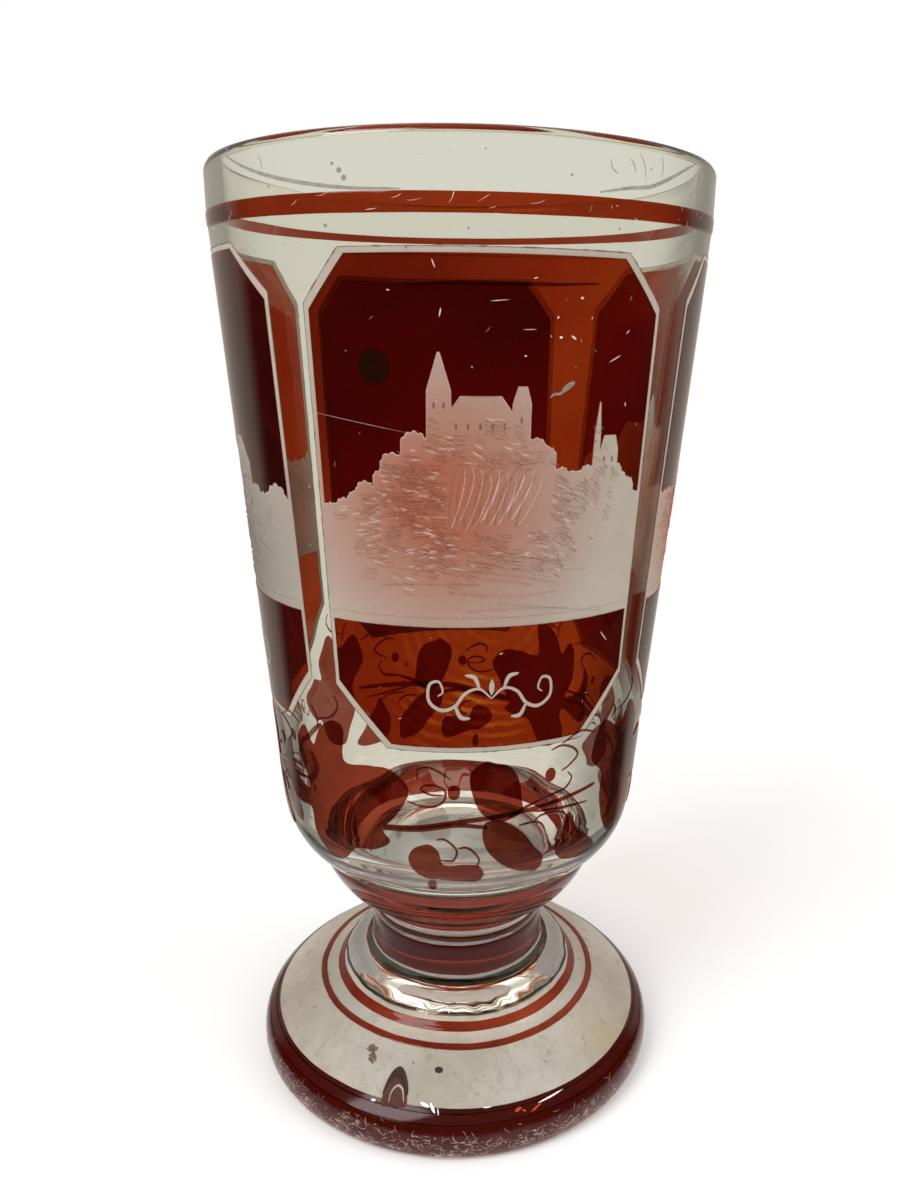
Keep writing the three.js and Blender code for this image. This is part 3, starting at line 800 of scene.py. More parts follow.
def add_plate(name, outline, material, slot, *nodes, **sizes):
    """A finished plate. sizes are what make_plate takes beside the outline."""
    return finish_piece(make_plate(name, outline, **sizes), slot, [material], *nodes)


def plate_half_angle():
    return PANEL_HALF_ANGLE - FRAME_ANGLE


def lower_part(middle, half, low, upper):
    """The outline of a plate with cut lower corners, closed by the points of its upper part."""
    across, rise = LOW_CHAMFER
    return [
        [middle - half + across, low],
        [middle + half - across, low],
        [middle + half, low + rise],
        *upper,
        [middle - half, low + rise],
    ]


def upper_corners(middle, half, high):
    across, drop = TOP_CHAMFER
    return [
        [middle + half, high - drop],
        [middle + half - across, high],
        [middle - half + across, high],
        [middle - half, high - drop],
    ]


def border_outline(middle):
    """The outermost frame line of a panel."""
    half = PANEL_HALF_ANGLE
    return lower_part(middle, half, PANEL_LOW, upper_corners(middle, half, PANEL_HIGH))


def caption_outline(middle):
    half = plate_half_angle()
    upper = [[middle + half, CAPTION_HIGH], [middle - half, CAPTION_HIGH]]
    return lower_part(middle, half, PANEL_LOW + FRAME_WIDTH, upper)


def sky_outline(middle, line):
    upper = upper_corners(middle, plate_half_angle(), PANEL_HIGH - FRAME_WIDTH)
    return [[middle + angle, height] for angle, height in line] + upper


def bump_of(angle, middle, half, rise):
    """How high a round hill is at each angle."""
    share = np.minimum(1, np.abs(angle - middle) / half)
    return rise * (0.5 + 0.5 * np.cos(np.pi * share))


def building(angle, middle, width, eaves, peak, ridge):
    """The height that a wall with a roof reaches at each angle."""
    half = math.degrees(width / 2 / UNROLLED_RADIUS)
    ridge_half = math.degrees(ridge / 2 / UNROLLED_RADIUS)
    away = np.abs(angle - middle)
    roof = np.clip((half - away) / max(half - ridge_half, 0.01), 0, 1)
    return np.where(away <= half, eaves + (peak - eaves) * roof, 0)


def tree_tops(angle, ground, chance, stretches):
    """Bushes along the ground, each with a fan of small round lobes, as the height that they reach."""
    reached = np.zeros(len(angle))
    for low, high, size in stretches:
        at = low
        while at < high:
            radius = size * chance.uniform(0.7, 1.25)
            root = np.interp(at, angle, ground) + radius * chance.uniform(0, 0.5)
            lobes = [(0, 0, 0.75 * radius)]
            for turn in np.radians(np.linspace(15, 165, 5)):
                lobe = radius * chance.uniform(0.32, 0.45)
                lobes.append((radius * math.cos(turn), radius * math.sin(turn), lobe))
            for side, rise, lobe in lobes:
                across = np.radians(angle - at) * UNROLLED_RADIUS - side
                crown = root + rise + np.sqrt(np.maximum(lobe**2 - across**2, 0))
                reached = np.maximum(reached, np.where(np.abs(across) < lobe, crown, 0))
            at += math.degrees(radius * chance.uniform(1.3, 2.4) / UNROLLED_RADIUS)
    return reached


def castle_skyline(angle, chance):
    """A hill with a castle and a knoll with a chapel."""
    ground = SKYLINE_SIDE + bump_of(angle, -5, 35.5, 13.2) + bump_of(angle, 28, 15, 6.2)
    walls = [(-12.5, 3, 109, 113.6, 0.3), (-4, 8.4, 106, 108.4, 5), (4.5, 2.4, 107.4, 109.6, 1.2)]
    walls += [(28, 4, 101.2, 103.2, 2.6), (23.5, 1.4, 103, 107.6, 0.3)]
    trees = tree_tops(angle, ground, chance, [(-41, -15, 1.15), (8, 21, 0.85), (31, 41, 1)])
    return np.maximum.reduce([ground, trees] + [building(angle, *wall) for wall in walls])


def house_skyline(angle, chance):
    """A long house with a gable between trees."""
    ground = np.full(len(angle), float(SKYLINE_SIDE))
    walls = [(0, 26, 98, 101.5, 20), (0, 12, 98, 106.5, 0.3)]
    trees = tree_tops(angle, ground, chance, [(-41, -24, 1.6), (24, 41, 1.6)])
    return np.maximum.reduce([ground, trees] + [building(angle, *wall) for wall in walls])


def shore_skyline(angle, chance):
    """A low shore with trees."""
    ground = SHORE_LEVEL + 0.5 * np.sin(np.radians(6 * angle))
    trees = tree_tops(angle, ground, chance, [(-34, -20, 1.4), (-11, -4, 1.2), (6, 12, 1.3), (19, 31, 1.4)])
    return np.maximum(ground, trees)


VIEWS = [castle_skyline, house_skyline, shore_skyline, house_skyline]

# How far the cutter was off near the top of each panel: its left side, right side and top right corner in
# degrees, and its top in millimetres
UNEVEN = [(0, -3.2, -5.4, 0.3), (0, -4, -6, 1.6), (2.3, 0, 0, 0.5), (0, -1.5, -5, 1.8)]
# Where that sets in: degrees from the panel's middle, and the levels for its sides and its top
SHIFT_START = 20
SHIFT_REACH = 10.5
SHIFT_LOW = 75
RISE_START = 110


def cut_by_hand(number, middle, outline):
    """Moves what lies near a panel's upper edge and its upper corners."""
    left, side_right, top_right, rise = UNEVEN[number - 1]
    points = np.array(outline, float)
    side_high = PANEL_HIGH - TOP_CHAMFER[1]
    levels = [PANEL_LOW, SHIFT_LOW, side_high, PANEL_HIGH]
    to_right = np.clip((points[:, 0] - middle - SHIFT_START) / SHIFT_REACH, 0, 1)
    to_left = np.clip((middle - points[:, 0] - SHIFT_START) / SHIFT_REACH, 0, 1)
    points[:, 0] += to_right * np.interp(points[:, 1], levels, [0, side_right * 0.3, side_right, top_right])
    points[:, 0] += to_left * np.interp(points[:, 1], levels, [0, left * 0.3, left, left])
    points[:, 1] += rise * np.clip((points[:, 1] - RISE_START) / (side_high - RISE_START), 0, 1)
    return points


def skyline(view, seed):
    """Points of a skyline from left to right across a plate, as [angle, height]."""
    half = plate_half_angle()
    angle = np.linspace(-half, half, 800)
    height = view(angle, random.Random(seed))
    return simplify(np.stack([angle, height], -1), 0.02)


def simplify(points, tolerance):
    """Drops the points of a line that lie within a tolerance of the rest of it."""
    kept = [0, len(points) - 1]
    waiting = [(0, len(points) - 1)]
    scale = np.array([math.radians(1) * UNROLLED_RADIUS, 1])
    while waiting:
        first, last = waiting.pop()
        if last - first < 2:
            continue
        along = (points[last] - points[first]) * scale
        rest = (points[first + 1 : last] - points[first]) * scale
        away = np.abs(along[0] * rest[:, 1] - along[1] * rest[:, 0]) / np.linalg.norm(along)
        worst = int(np.argmax(away))
        if away[worst] > tolerance:
            middle = first + 1 + worst
            kept.append(middle)
            waiting += [(first, middle), (middle, last)]
    return points[sorted(kept)]


def make_panel(number):
    middle = 360 / PANEL_COUNT * (number - 1)
    line = skyline(VIEWS[number - 1], 100 + number)
    outlines = (sky_outline(middle, line), caption_outline(middle), border_outline(middle))
    sky, caption, border = [cut_by_hand(number, middle, outline) for outline in outlines]
    for name, outline in (("sky", sky), ("caption", caption)):
        add_plate(f"panel_{number}_{name}", outline, RUBY, "ruby_glass", f"panel_{number}_{name}_plate")
    skin = {"holes": [sky, caption], "step": 0.6, "lift": MATT_LIFT, "thickness": MATT_THICKNESS}
    add_plate(f"panel_{number}_engraving", border, MATT, "matt_glass", **skin)
    engrave(number, middle, line)
    outline_cuts(number, sky, caption, border)


# Fine strokes: engraving, tendrils, scratches

STROKE_HEIGHT = 0.05
ABOVE_MATT = MATT_LIFT + MATT_THICKNESS
ABOVE_RUBY = RUBY_LIFT + RUBY_THICKNESS + 0.01


def brush(points, width, tip=0.15):
    """A stroke along [azimuth, height] points, tapered at both ends."""
    line = np.array(points, float)
    share = np.linspace(0, 1, len(line))
    return line, width * (tip + (1 - tip) * np.sin(np.pi * share) ** 0.6)


def dash(azimuth, height, turn, length, width, bow=0.0):
    """A short stroke about a middle, turned by degrees from level, bowed by a share of its length."""
    along = np.linspace(-0.5, 0.5, 5)
    x = along * length
    y = bow * length * (1 - 4 * along**2)
    angle = math.radians(turn)
    across = x * math.cos(angle) - y * math.sin(angle)
    rise = x * math.sin(angle) + y * math.cos(angle)
    points = np.stack([azimuth + np.degrees(across / UNROLLED_RADIUS), height + rise], -1)
    return brush(points, width)


def make_strokes(name, strokes, lift, height):
    """One closed mesh of roof-shaped strokes that lie on the glass."""
    vertices = []
    faces = []
    start = 0
    for line, widths in strokes:
        flat = unroll(line)
        along = np.gradient(flat, axis=0)
        along /= np.linalg.norm(along, axis=1)[:, None] + 1e-9
        across = np.stack([-along[:, 1], along[:, 0]], -1) * widths[:, None] / 2
        for side, raised in ((flat + across, lift), (flat, lift + height), (flat - across, lift)):
            vertices.append(surface(np.degrees(side[:, 0] / UNROLLED_RADIUS), side[:, 1], raised))
        count = len(line)
        left, ridge, right = start, start + count, start + 2 * count
        for i in range(count - 1):
            faces.append((ridge + i, ridge + i + 1, left + i + 1, left + i))
            faces.append((right + i, right + i + 1, ridge + i + 1, ridge + i))
            faces.append((left + i, left + i + 1, right + i + 1, right + i))
        last = count - 1
        faces.append((left, right, ridge))
        faces.append((right + last, left + last, ridge + last))
        start += 3 * count
    return make_mesh(name, np.vstack(vertices), faces)


def add_strokes(name, strokes, lift, height, material, slot="clear_glass", *nodes):
    """Strokes as one finished piece."""
    return finish_piece(make_strokes(name, strokes, lift, height), slot, [material], *nodes)


# The engraved fields: how many groups of strokes and level lines each has, how wide it and a stroke are
FOLIAGE_GROUPS = 330
LEVEL_LINES = 18
FIELD_HALF_ANGLE = 38
STROKE_WIDTH = 0.26
# The fan of long cuts on the hill, where no foliage grows, and the cuts with a broader painted highlight
FAN_ANGLES = (-12, 13)
FAN_LEVELS = (91, 99.5)
FAN_CUTS = 10
PAINTED_HIGHLIGHT_CUTS = (4, 7, 8)


def field_strokes(middle, line, chance):
    """Foliage in groups of parallel strokes, and long level lines near the foot of the field."""
    groups = {"raised": [], "pale": [], "dark": []}
    for _ in range(FOLIAGE_GROUPS):
        angle = chance.triangular(-38, 34, -16)
        height = chance.triangular(FIELD_LOW + 3, 106, 95)
        slope = -14 - 0.4 * angle + chance.gauss(0, 10)
        spacing = chance.uniform(0.45, 0.65)
        for step in range(chance.randint(2, 5)):
            rise = height + step * spacing
            lean = angle + math.degrees(chance.gauss(0.1 * step, 0.15) / UNROLLED_RADIUS)
            top = float(np.interp(lean, line[:, 0], line[:, 1])) - 1.2
            in_fan = FAN_ANGLES[0] < lean < FAN_ANGLES[1] and FAN_LEVELS[0] < rise < FAN_LEVELS[1]
            if rise > top or abs(lean) > FIELD_HALF_ANGLE or in_fan:
                continue
            length = chance.uniform(0.9, 2.3)
            stroke = dash(middle + lean, rise, slope, length, STROKE_WIDTH, chance.uniform(-0.12, 0.12))
            groups[chance.choice(("raised", "raised", "raised", "pale", "dark"))].append(stroke)
    for _ in range(LEVEL_LINES):
        angle = chance.uniform(-24, 24)
        height = chance.uniform(FIELD_LOW + 1, min(89, line[:, 1].min()))
        bow = chance.uniform(-0.06, 0.08)
        stroke = dash(middle + angle, height, chance.gauss(-6, 5), chance.uniform(9, 20), 0.12, bow)
        groups[chance.choice(("raised", "dark"))].append(stroke)
    return groups


def leaf_cut(angle, height, lean, length, width):
    """The outline of one long cut, pointed at its lower end."""
    turn = np.linspace(0, 2 * np.pi, 41)
    along = length / 2 * np.cos(turn)
    across = width / 2 * np.sin(turn) * (1 + 0.45 * np.cos(turn))
    tilt = math.radians(lean)
    side = along * math.cos(tilt) - across * math.sin(tilt)
    rise = along * math.sin(tilt) + across * math.cos(tilt)
    return np.stack([angle + np.degrees(side / UNROLLED_RADIUS), height + rise], -1)


def upright_cuts(middle, chance):
    """A fan of long leaf-shaped cuts in the middle of the hill: edges of painted shade and painted
    highlight, a few broader.
    """
    faint = []
    bright = []
    for number in range(FAN_CUTS):
        angle = middle - 9 + 1.75 * number + chance.uniform(-0.2, 0.2)
        height = 95.6 + 0.6 * math.sin(2 * number) + chance.uniform(-0.4, 0.4)
        cut = leaf_cut(angle, height, 80 - 1.4 * number, chance.uniform(6, 8.4), chance.uniform(1.3, 1.7))
        # One side of each cut's edge is drawn dark as painted shade, the other pale as a painted highlight
        faint.append(brush(cut[:24], 0.3, 0.3))
        bright.append(brush(cut[18:], 0.14, 0.3))
        if number in PAINTED_HIGHLIGHT_CUTS:
            bright.append(brush(cut[22:36], 0.34, 0.2))
    return faint, bright


def window_strokes(middle, rows):
    """Rows of small upright windows, as [first angle, last angle, height, count]."""
    strokes = []
    for first, last, height, count in rows:
        for angle in np.linspace(first, last, count):
            strokes.append(dash(middle + angle, height, 90, *WINDOW_SIZE))
    return strokes


# A window's height and width
WINDOW_SIZE = (0.9, 0.34)
CASTLE_WINDOWS = [(-13.5, -11.5, 107.2, 2), (-9, 1, 104.6, 5), (4.5, 4.5, 105.4, 1), (26.5, 29.5, 100, 2)]
HOUSE_WINDOWS = [(-19, -13, 95.5, 3), (-7, 7, 96, 4), (13, 19, 95.5, 3), (-19, 19, 92, 9), (-3, 3, 99.5, 2)]
WINDOWS = [CASTLE_WINDOWS, HOUSE_WINDOWS, [], HOUSE_WINDOWS]


def flourish(middle):
    """A plain scroll in the middle of a caption plate."""
    scroll = [
        [0, 68.2], [3, 69.6], [6.5, 69], [9, 67.2], [12.5, 66.6], [15.5, 68], [15.2, 70.2], [12.8, 70.6],
        [12, 69.2], [13.2, 68.6],
    ]
    leaf = [[3, 69.6], [4.2, 71.2], [6.6, 71.6]]
    drop = [[9, 67.2], [7.6, 65.6], [5.2, 65.4]]
    strokes = []
    for side in (-1, 1):
        for line, width in ((scroll, 0.5), (leaf, 0.6), (drop, 0.6)):
            points = [[middle + side * angle, height] for angle, height in line]
            strokes.append(brush(smooth(points, 0.5), width, 0.3))
    strokes.append(dash(middle, 69.8, 90, 2.2, 0.8))
    return strokes


def engrave(number, middle, line):
    chance = random.Random(200 + number)
    field = field_strokes(middle, line, chance)
    if number == 1:
        faint, bright = upright_cuts(middle, chance)
        # The fan's painted shade goes with the dark cuts and its painted highlights with the pale ones
        field["dark"] += faint
        field["pale"] += bright
    angles = np.linspace(-plate_half_angle(), plate_half_angle(), 60)
    ground = np.stack([middle + angles, FIELD_LOW + 0.55 + 0.06 * np.sin(angles)], -1)
    field["dark"].append((ground, np.full(len(ground), 0.14)))
    windows = window_strokes(middle, WINDOWS[number - 1])
    groups = [
        ("raised_cuts", field["raised"], ABOVE_MATT, 0.12, MATT),
        ("pale_cuts", field["pale"], ABOVE_MATT, STROKE_HEIGHT, PALE_CUT),
        ("dark_cuts", field["dark"], ABOVE_MATT, STROKE_HEIGHT, DARK_CUT),
        ("windows", windows, ABOVE_MATT, STROKE_HEIGHT, CUT_WINDOW),
        ("flourish", flourish(middle), RUBY_LIFT + RUBY_THICKNESS, STROKE_HEIGHT, MATT),
    ]
    for name, strokes, lift, height, material in groups:
        strokes = [(cut_by_hand(number, middle, points), widths) for points, widths in strokes]
        if strokes:
            add_strokes(f"panel_{number}_{name}", strokes, lift, height, material, "matt_glass")


def loop_stroke(outline, width, chance):
    """A stroke round an outline, now thicker and now thinner."""
    points = densify(unroll(outline), 0.8)
    points = np.vstack([points, points[:1]])
    angles = np.degrees(points[:, 0] / UNROLLED_RADIUS)
    widths = [width * chance.choice((0.7, 1, 1, 1.3, 2.4)) for _ in points]
    return np.stack([angles, points[:, 1]], -1), np.array(widths)


def outline_cuts(number, sky, caption, border):
    """The pale burr along the skyline and the dark edges of the ruby."""
    # The sky's outline ends with its four upper corners
    skyline_points = sky[:-4]
    burr = (skyline_points - [0, 0.12], np.full(len(skyline_points), 0.16))
    add_strokes(f"panel_{number}_burr", [burr], ABOVE_MATT, STROKE_HEIGHT, PALE_EDGE, "matt_glass")
    chance = random.Random(300 + number)
    edges = [loop_stroke(outline, 0.1, chance) for outline in (caption, border)]
    edges.append((sky[-5:], np.full(5, 0.1)))
    add_strokes(f"panel_{number}_edges", edges, RUBY_LIFT, 0.08, DARK_EDGE, "matt_glass")


# The garland. Angles are counted from the middle of the leaf before a spray.

SPLIT_LEAF = [
    [-20, 57.1], [-18.9, 52.6], [-10.4, 50.8], [-14.8, 57.3], [-10.4, 60.6], [-7.1, 58], [-3.7, 60.9],
    [1.6, 62.9], [5.2, 62.1], [4.3, 57.4], [12.7, 57.3], [19.1, 57.1], [23.7, 54.3], [20.6, 50.8],
    [15.8, 47.6], [17.8, 46.2], [12.8, 44.4], [6.5, 43.8], [1.4, 41.3], [-4.9, 41.1], [-10.2, 44.1],
    [-10.6, 47.3], [-16.8, 47.4], [-21.3, 48.1], [-25.5, 52.2],
]
FULL_LEAF = [
    [-9.8, 61.8], [-12.1, 59.8], [-13.1, 56.4], [-7.8, 53.1], [-7.8, 49.8], [-4.3, 44.8], [1.2, 42.2],
    [9.8, 43.3], [14.5, 46], [13.3, 48.7], [20.6, 49.8], [23.9, 53.1], [19.4, 56.4], [11, 55.9],
    [9.8, 59.6], [3.7, 62.9], [-1.2, 59.8],
]
UPPER_LEAF = [
    [40.7, 54.1], [39.9, 56.1], [40.5, 57.6], [42.5, 58.5], [44.5, 59], [46.7, 58.5], [49.7, 58.2],
    [52.3, 56.9], [53.8, 54.8], [54.3, 52.7], [54.9, 51], [51.7, 50], [47.9, 49.7], [44.7, 50.4], [42.2, 52],
]
LOWER_LEAF = [
    [44.1, 49.5], [43.6, 47.8], [44.7, 45.7], [47.8, 43.7], [52.2, 42], [57.4, 41.2], [61.8, 41.4],
    [62.2, 43], [59.2, 44.9], [55.3, 47.5], [51.1, 49.2], [47.9, 49.9],
]
SMALL_LEAF = [
    [70, 49.1], [72.8, 46.6], [82.8, 41.7], [81.4, 40.9], [75.5, 40.8], [68, 42], [66, 43.6], [67.7, 46],
]
BERRY = [
    [24.3, 45.4], [26.3, 46], [29.2, 46.3], [31.7, 45.1], [32.6, 43.3], [39, 43.2], [43.3, 42.8],
    [44.5, 41.5], [42.8, 40.4], [37.6, 40.5], [31.9, 40.8], [27.6, 40.9], [23.7, 42.5], [22.9, 44],
]
VINE = [
    [[16, 48.4], [26, 48.9], [37, 49.9], [47.1, 50.4], [63.4, 51.2], [79.2, 52.1]],
    [[16, 48], [26, 48.5], [37, 49.4], [45, 48.9]],
]
TWIGS = [[[50.5, 49.8], [53.9, 51], [61.3, 52.3]], [[57.2, 50.6], [61.9, 50.3], [76.8, 49.7]]]
TENDRILS = [
    [[26.2, 56.1], [26, 57.3], [28.5, 58], [31.6, 57.5], [34.8, 56.4]],
    [
        [23, 52.8], [26.6, 52.2], [30.7, 52.2], [33.2, 53.2], [33.6, 54.4], [31.6, 55.2], [28.4, 55.3],
        [27, 54.7], [29.4, 54], [33.2, 53.9],
    ],
    [[62.3, 59.4], [65.4, 59.8], [70, 58.8], [71.3, 57.8], [68.4, 56.4], [66.2, 55.9]],
    [[68.3, 55.5], [69.9, 54.4], [68.1, 53.1], [64.1, 52.6], [61.3, 52.3]],
    [[58.4, 48.7], [59.8, 49.5], [63.6, 49.7], [67.8, 49.2], [71.1, 47.5]],
    [[53.9, 48.7], [58.1, 48.8], [60.9, 48.3], [62.4, 47]],
    [[30.9, 47.1], [33.1, 47.2], [35.3, 46.4], [36.7, 45.3], [35.9, 44], [32.2, 43.9]],
    [[37, 45.8], [39.5, 45.9], [42.1, 44.7], [43, 43.7], [42.2, 42.7]],
    [[2.8, 66.7], [3.9, 65.5], [2.5, 63.9], [-0.5, 62.9], [-3.7, 62.5]],
    [[-6.5, 64.2], [-4.5, 62.7], [-4.2, 60.9]],
    [[-24.3, 60.1], [-18.4, 61.3], [-13, 60.5]],
]
# Single berries, as [angle, height, radius]
BERRIES = [[35.8, 54.4, 1.0], [62.6, 55.7, 0.95], [58, 54, 0.3], [29.5, 39.5, 0.8]]


def moved_round(points, middle):
    """The points of an outline, counted from another azimuth."""
    return [[angle + middle, height] for angle, height in points]


def leaf_plate(name, outline, middle, *nodes):
    outline = smooth(moved_round(outline, middle), 1.2, closed=True)
    add_plate(name, outline, LEAF_RUBY, "ruby_glass", *nodes, thickness=0.12)


def round_outline(middle, height, radius):
    angles = np.linspace(0, 2 * np.pi, 20, endpoint=False)
    across = np.degrees(radius * np.cos(angles) / UNROLLED_RADIUS)
    return np.stack([middle + across, height + 1.1 * radius * np.sin(angles)], -1)


def make_spray(number, middle, before_full_leaf):
    lines = []
    for group, step, width, tip in ((VINE, 1, 0.75, 0.7), (TWIGS, 1, 0.5, 0.4), (TENDRILS, 0.5, 0.42, 0.5)):
        lines += [brush(smooth(moved_round(line, middle), step), width, tip) for line in group]
    add_strokes(f"vine_{number}", lines, RUBY_LIFT, 0.1, LEAF_RUBY, "ruby_glass", f"vine_spray_{number}")
    leaf_plate(f"upper_leaf_{number}", UPPER_LEAF, middle)
    leaf_plate(f"lower_leaf_{number}", LOWER_LEAF, middle)
    if before_full_leaf:
        leaf_plate(f"small_leaf_{number}", SMALL_LEAF, middle)
    leaf_plate(f"berries_{number}", BERRY, middle, f"berry_cluster_{number}")
    for count, (angle, height, radius) in enumerate(BERRIES):
        outline = round_outline(middle + angle, height, radius)
        add_plate(f"berry_{number}_{count}", outline, LEAF_RUBY, "ruby_glass", step=0.6)


def make_garland():
    for number in range(1, PANEL_COUNT + 1):
        middle = 360 / PANEL_COUNT * (number - 1.5)
        outline = SPLIT_LEAF if number % 2 else FULL_LEAF
        leaf_plate(f"leaf_{number}", outline, middle, f"lobed_leaf_{number}")
        make_spray(number, middle, number % 2 == 1)


# Wear and marks

ANY_TURN = (0, 180)
# Clusters of scuffs round the foot, and the lowest level of a scuff
SCUFF_CLUSTERS = 190
LOWEST_SCUFF = 0.9
# How far up the lip's rounding its red trace lies, in degrees
LIP_TRACE_TILT = 52


def random_dashes(chance, count, low, high, lengths, widths, turns=ANY_TURN):
    """Dashes strewn all round the glass between two levels. Lengths, widths and turns are ranges."""
    dashes = []
    for _ in range(count):
        azimuth = chance.uniform(-180, 180)
        height = chance.uniform(low, high)
        length = chance.uniform(*lengths)
        turn = chance.uniform(*turns)
        width = chance.uniform(*widths)
        dashes.append(dash(azimuth, height, turn, length, width, chance.uniform(-0.1, 0.1)))
    return dashes


def table_scuffs(chance):
    """Clusters of scuffs round the lower edge of the foot, where it knocks against the table."""
    scuffs = []
    for _ in range(SCUFF_CLUSTERS):
        azimuth = chance.uniform(-180, 180)
        height = chance.triangular(0.7, 4.4, 2.4)
        for _ in range(chance.randint(4, 13)):
            angle = azimuth + chance.gauss(0, 2)
            level = max(LOWEST_SCUFF, height + chance.gauss(0, 0.35))
            length = chance.uniform(0.2, 1.3)
            turn = chance.gauss(8, 38)
            width = chance.uniform(0.03, 0.1)
            scuffs.append(dash(angle, level, turn, length, width, chance.gauss(0, 0.2)))
    return scuffs


# Marks on the front panel, as [azimuth, height, turn, length, width] or as [azimuth, height] points
SKY_DASHES = [
    (15.9, 120.4, 10, 0.45, 0.28), (11, 118, 60, 0.4, 0.18), (11.9, 115.6, 15, 0.4, 0.3),
    (14.7, 115.6, -35, 0.8, 0.26), (25.2, 113, 27, 2, 0.12), (28, 116.4, 50, 0.7, 0.1),
    (29.6, 107.1, -80, 0.6, 0.14), (4.7, 113.3, 10, 0.3, 0.2), (-0.8, 119.9, 5, 2.2, 0.07),
    (-13.3, 124.1, -70, 1.1, 0.12), (-12.1, 118.4, 80, 1.1, 0.14), (5.3, 116.5, 3, 1.6, 0.06),
    (6, 122.6, 15, 0.5, 0.12), (-22, 121, -20, 0.4, 0.12), (31, 75, -45, 2.2, 0.14),
    (2, 74.5, 20, 0.6, 0.14),
]
LONG_SCRATCH = [[-40.2, 105.9], [-30, 104.9], [-19.5, 103.8]]
WORM = [[10.4, 108.2], [11.2, 108.6], [12.7, 108.7], [13.4, 109.2], [14.2, 109.5], [15.6, 110]]
WORM_BODY = [[13, 108.9], [14.1, 109.5], [15.6, 110.1]]
DARK_STREAK = [[-18.6, 121.6], [-10, 121.9], [0, 121.9], [10, 121.9], [19.7, 122.2]]
# A dark spot and bubbles, as [azimuth, height, radius]
DARK_SPOT = (-25.5, 111.8, 1.95)
BUBBLES = [
    (-60.8, 139.2, 0.28), (-30.6, 134.8, 0.3), (-29.7, 133.9, 0.32), (-32, 135.6, 0.2), (-34, 128.6, 0.22),
    (-18.3, 125.9, 0.12), (12, 134.6, 0.15), (30, 136.3, 0.14), (-4, 137, 0.1), (44, 134.2, 0.16),
    (-47, 133.6, 0.15), (-42, 118, 0.14), (-43.5, 96, 0.2), (-45, 88, 0.14), (80, 135, 0.2),
    (120, 134.6, 0.18), (170, 136, 0.2), (-120, 135, 0.2),
]
# A flake missing from the edge of the foot, by its outline, and the ripple inside it
CHIP = [
    [-29.2, 6.4], [-29.3, 7.1], [-29, 7.7], [-28.4, 8.5], [-26.9, 8.93], [-24.7, 8.7], [-23, 8.05],
    [-22.3, 7.45], [-22, 6.75], [-25.6, 6.35],
]
CHIP_RIPPLE = [[-27.1, 6.6], [-27.1, 7.4], [-25.9, 8.05], [-23.9, 7.85], [-22.9, 6.9]]
# A dark inclusion and brown scribbles in the foot
INCLUSION = [-13.8, 9.56]
SCRIBBLE = [
    [[-40.4, 9.95], [-39.2, 10.05], [-38, 9.98], [-36.8, 10.02]], [[-40, 9.82], [-38.6, 9.84], [-37, 9.7]],
    [[-38.6, 9.5], [-37.4, 9.58], [-36.2, 9.5], [-35.4, 9.32]], [[-38.2, 9.3], [-36.9, 9.28], [-35.8, 9.12]],
]
# Painted highlights on the foot's edge and bead, and painted red glints, as [azimuth, height, turn, length,
# width]
PAINTED_HIGHLIGHTS = [
    (-31.6, 6.45, 5, 0.9, 0.25), (-16.8, 6.95, -10, 1.7, 0.35), (-14.6, 6.75, -40, 1.3, 0.4),
    (-13, 6.5, -70, 0.7, 0.2), (0.5, 6.72, 0, 1.6, 0.12), (19, 6.28, 3, 5, 0.16),
    (-22.5, 13.2, 70, 0.9, 0.25), (-12, 13.9, -50, 1.1, 0.3),
]
PAINTED_RED_GLINTS = [(8.9, 6.1, 10, 1.2, 0.32), (10.4, 5.9, -20, 0.6, 0.2), (14, 5.85, 12, 2.2, 0.16)]
# Smoky lines round the rim and scratches there, as [azimuth, height] points
RIM_WAVES = [
    [[-61.5, 138.3], [-55.7, 136.7], [-48.8, 135.2], [-39.9, 133.8], [-29.6, 132.8], [-19.1, 132.5]],
    [[18, 132.9], [25.4, 133.8], [30, 134.2], [35, 135.4], [41.4, 137.2], [46, 138.4]],
]
RIM_SCRATCHES = [
    [[27, 138], [28.4, 136.6], [28.9, 134.8]], [[33, 138.3], [33.6, 136.8], [33.4, 135.6]],
    [[20, 136.8], [20.6, 135.8], [22, 135.2]], [[24.5, 137.2], [25.6, 136.6], [26.1, 135.6]],
    [[-50, 137.5], [-49.2, 136.8], [-48.9, 135.7]],
]


def brushed(lines, step, width, tip):
    """A stroke along each of some lines."""
    return [brush(smooth(line, step), width, tip) for line in lines]


def make_scratches(chance):
    """Bright scratches on the ruby, faint ones on the foot, the rim and the bowl, and the table's scuffs."""
    bright = random_dashes(chance, 60, *RIM_BAND, (0.3, 2), (0.04, 0.09))
    bright += random_dashes(chance, 36, 84, 125, (0.12, 0.4), (0.04, 0.08))
    bright += random_dashes(chance, 24, 62, 78, (0.12, 0.5), (0.04, 0.08))
    bright += [dash(*mark) for mark in SKY_DASHES]
    faint = random_dashes(chance, 500, 0.7, 5, (0.2, 1.6), (0.03, 0.06), (-60, 60))
    faint += random_dashes(chance, 160, 133, 138.5, (0.15, 0.8), (0.04, 0.08))
    faint += random_dashes(chance, 60, 60, 128, (0.2, 1.0), (0.03, 0.05))
    faint += brushed([LONG_SCRATCH], 1, 0.055, 0.15)
    add_strokes("bright_scratches", bright, ABOVE_RUBY, 0.02, SCRATCH)
    add_strokes("faint_scratches", faint, ABOVE_RUBY, 0.02, FAINT_SCRATCH)
    add_strokes("table_scratches", table_scuffs(chance), ABOVE_RUBY, 0.02, SCUFF)


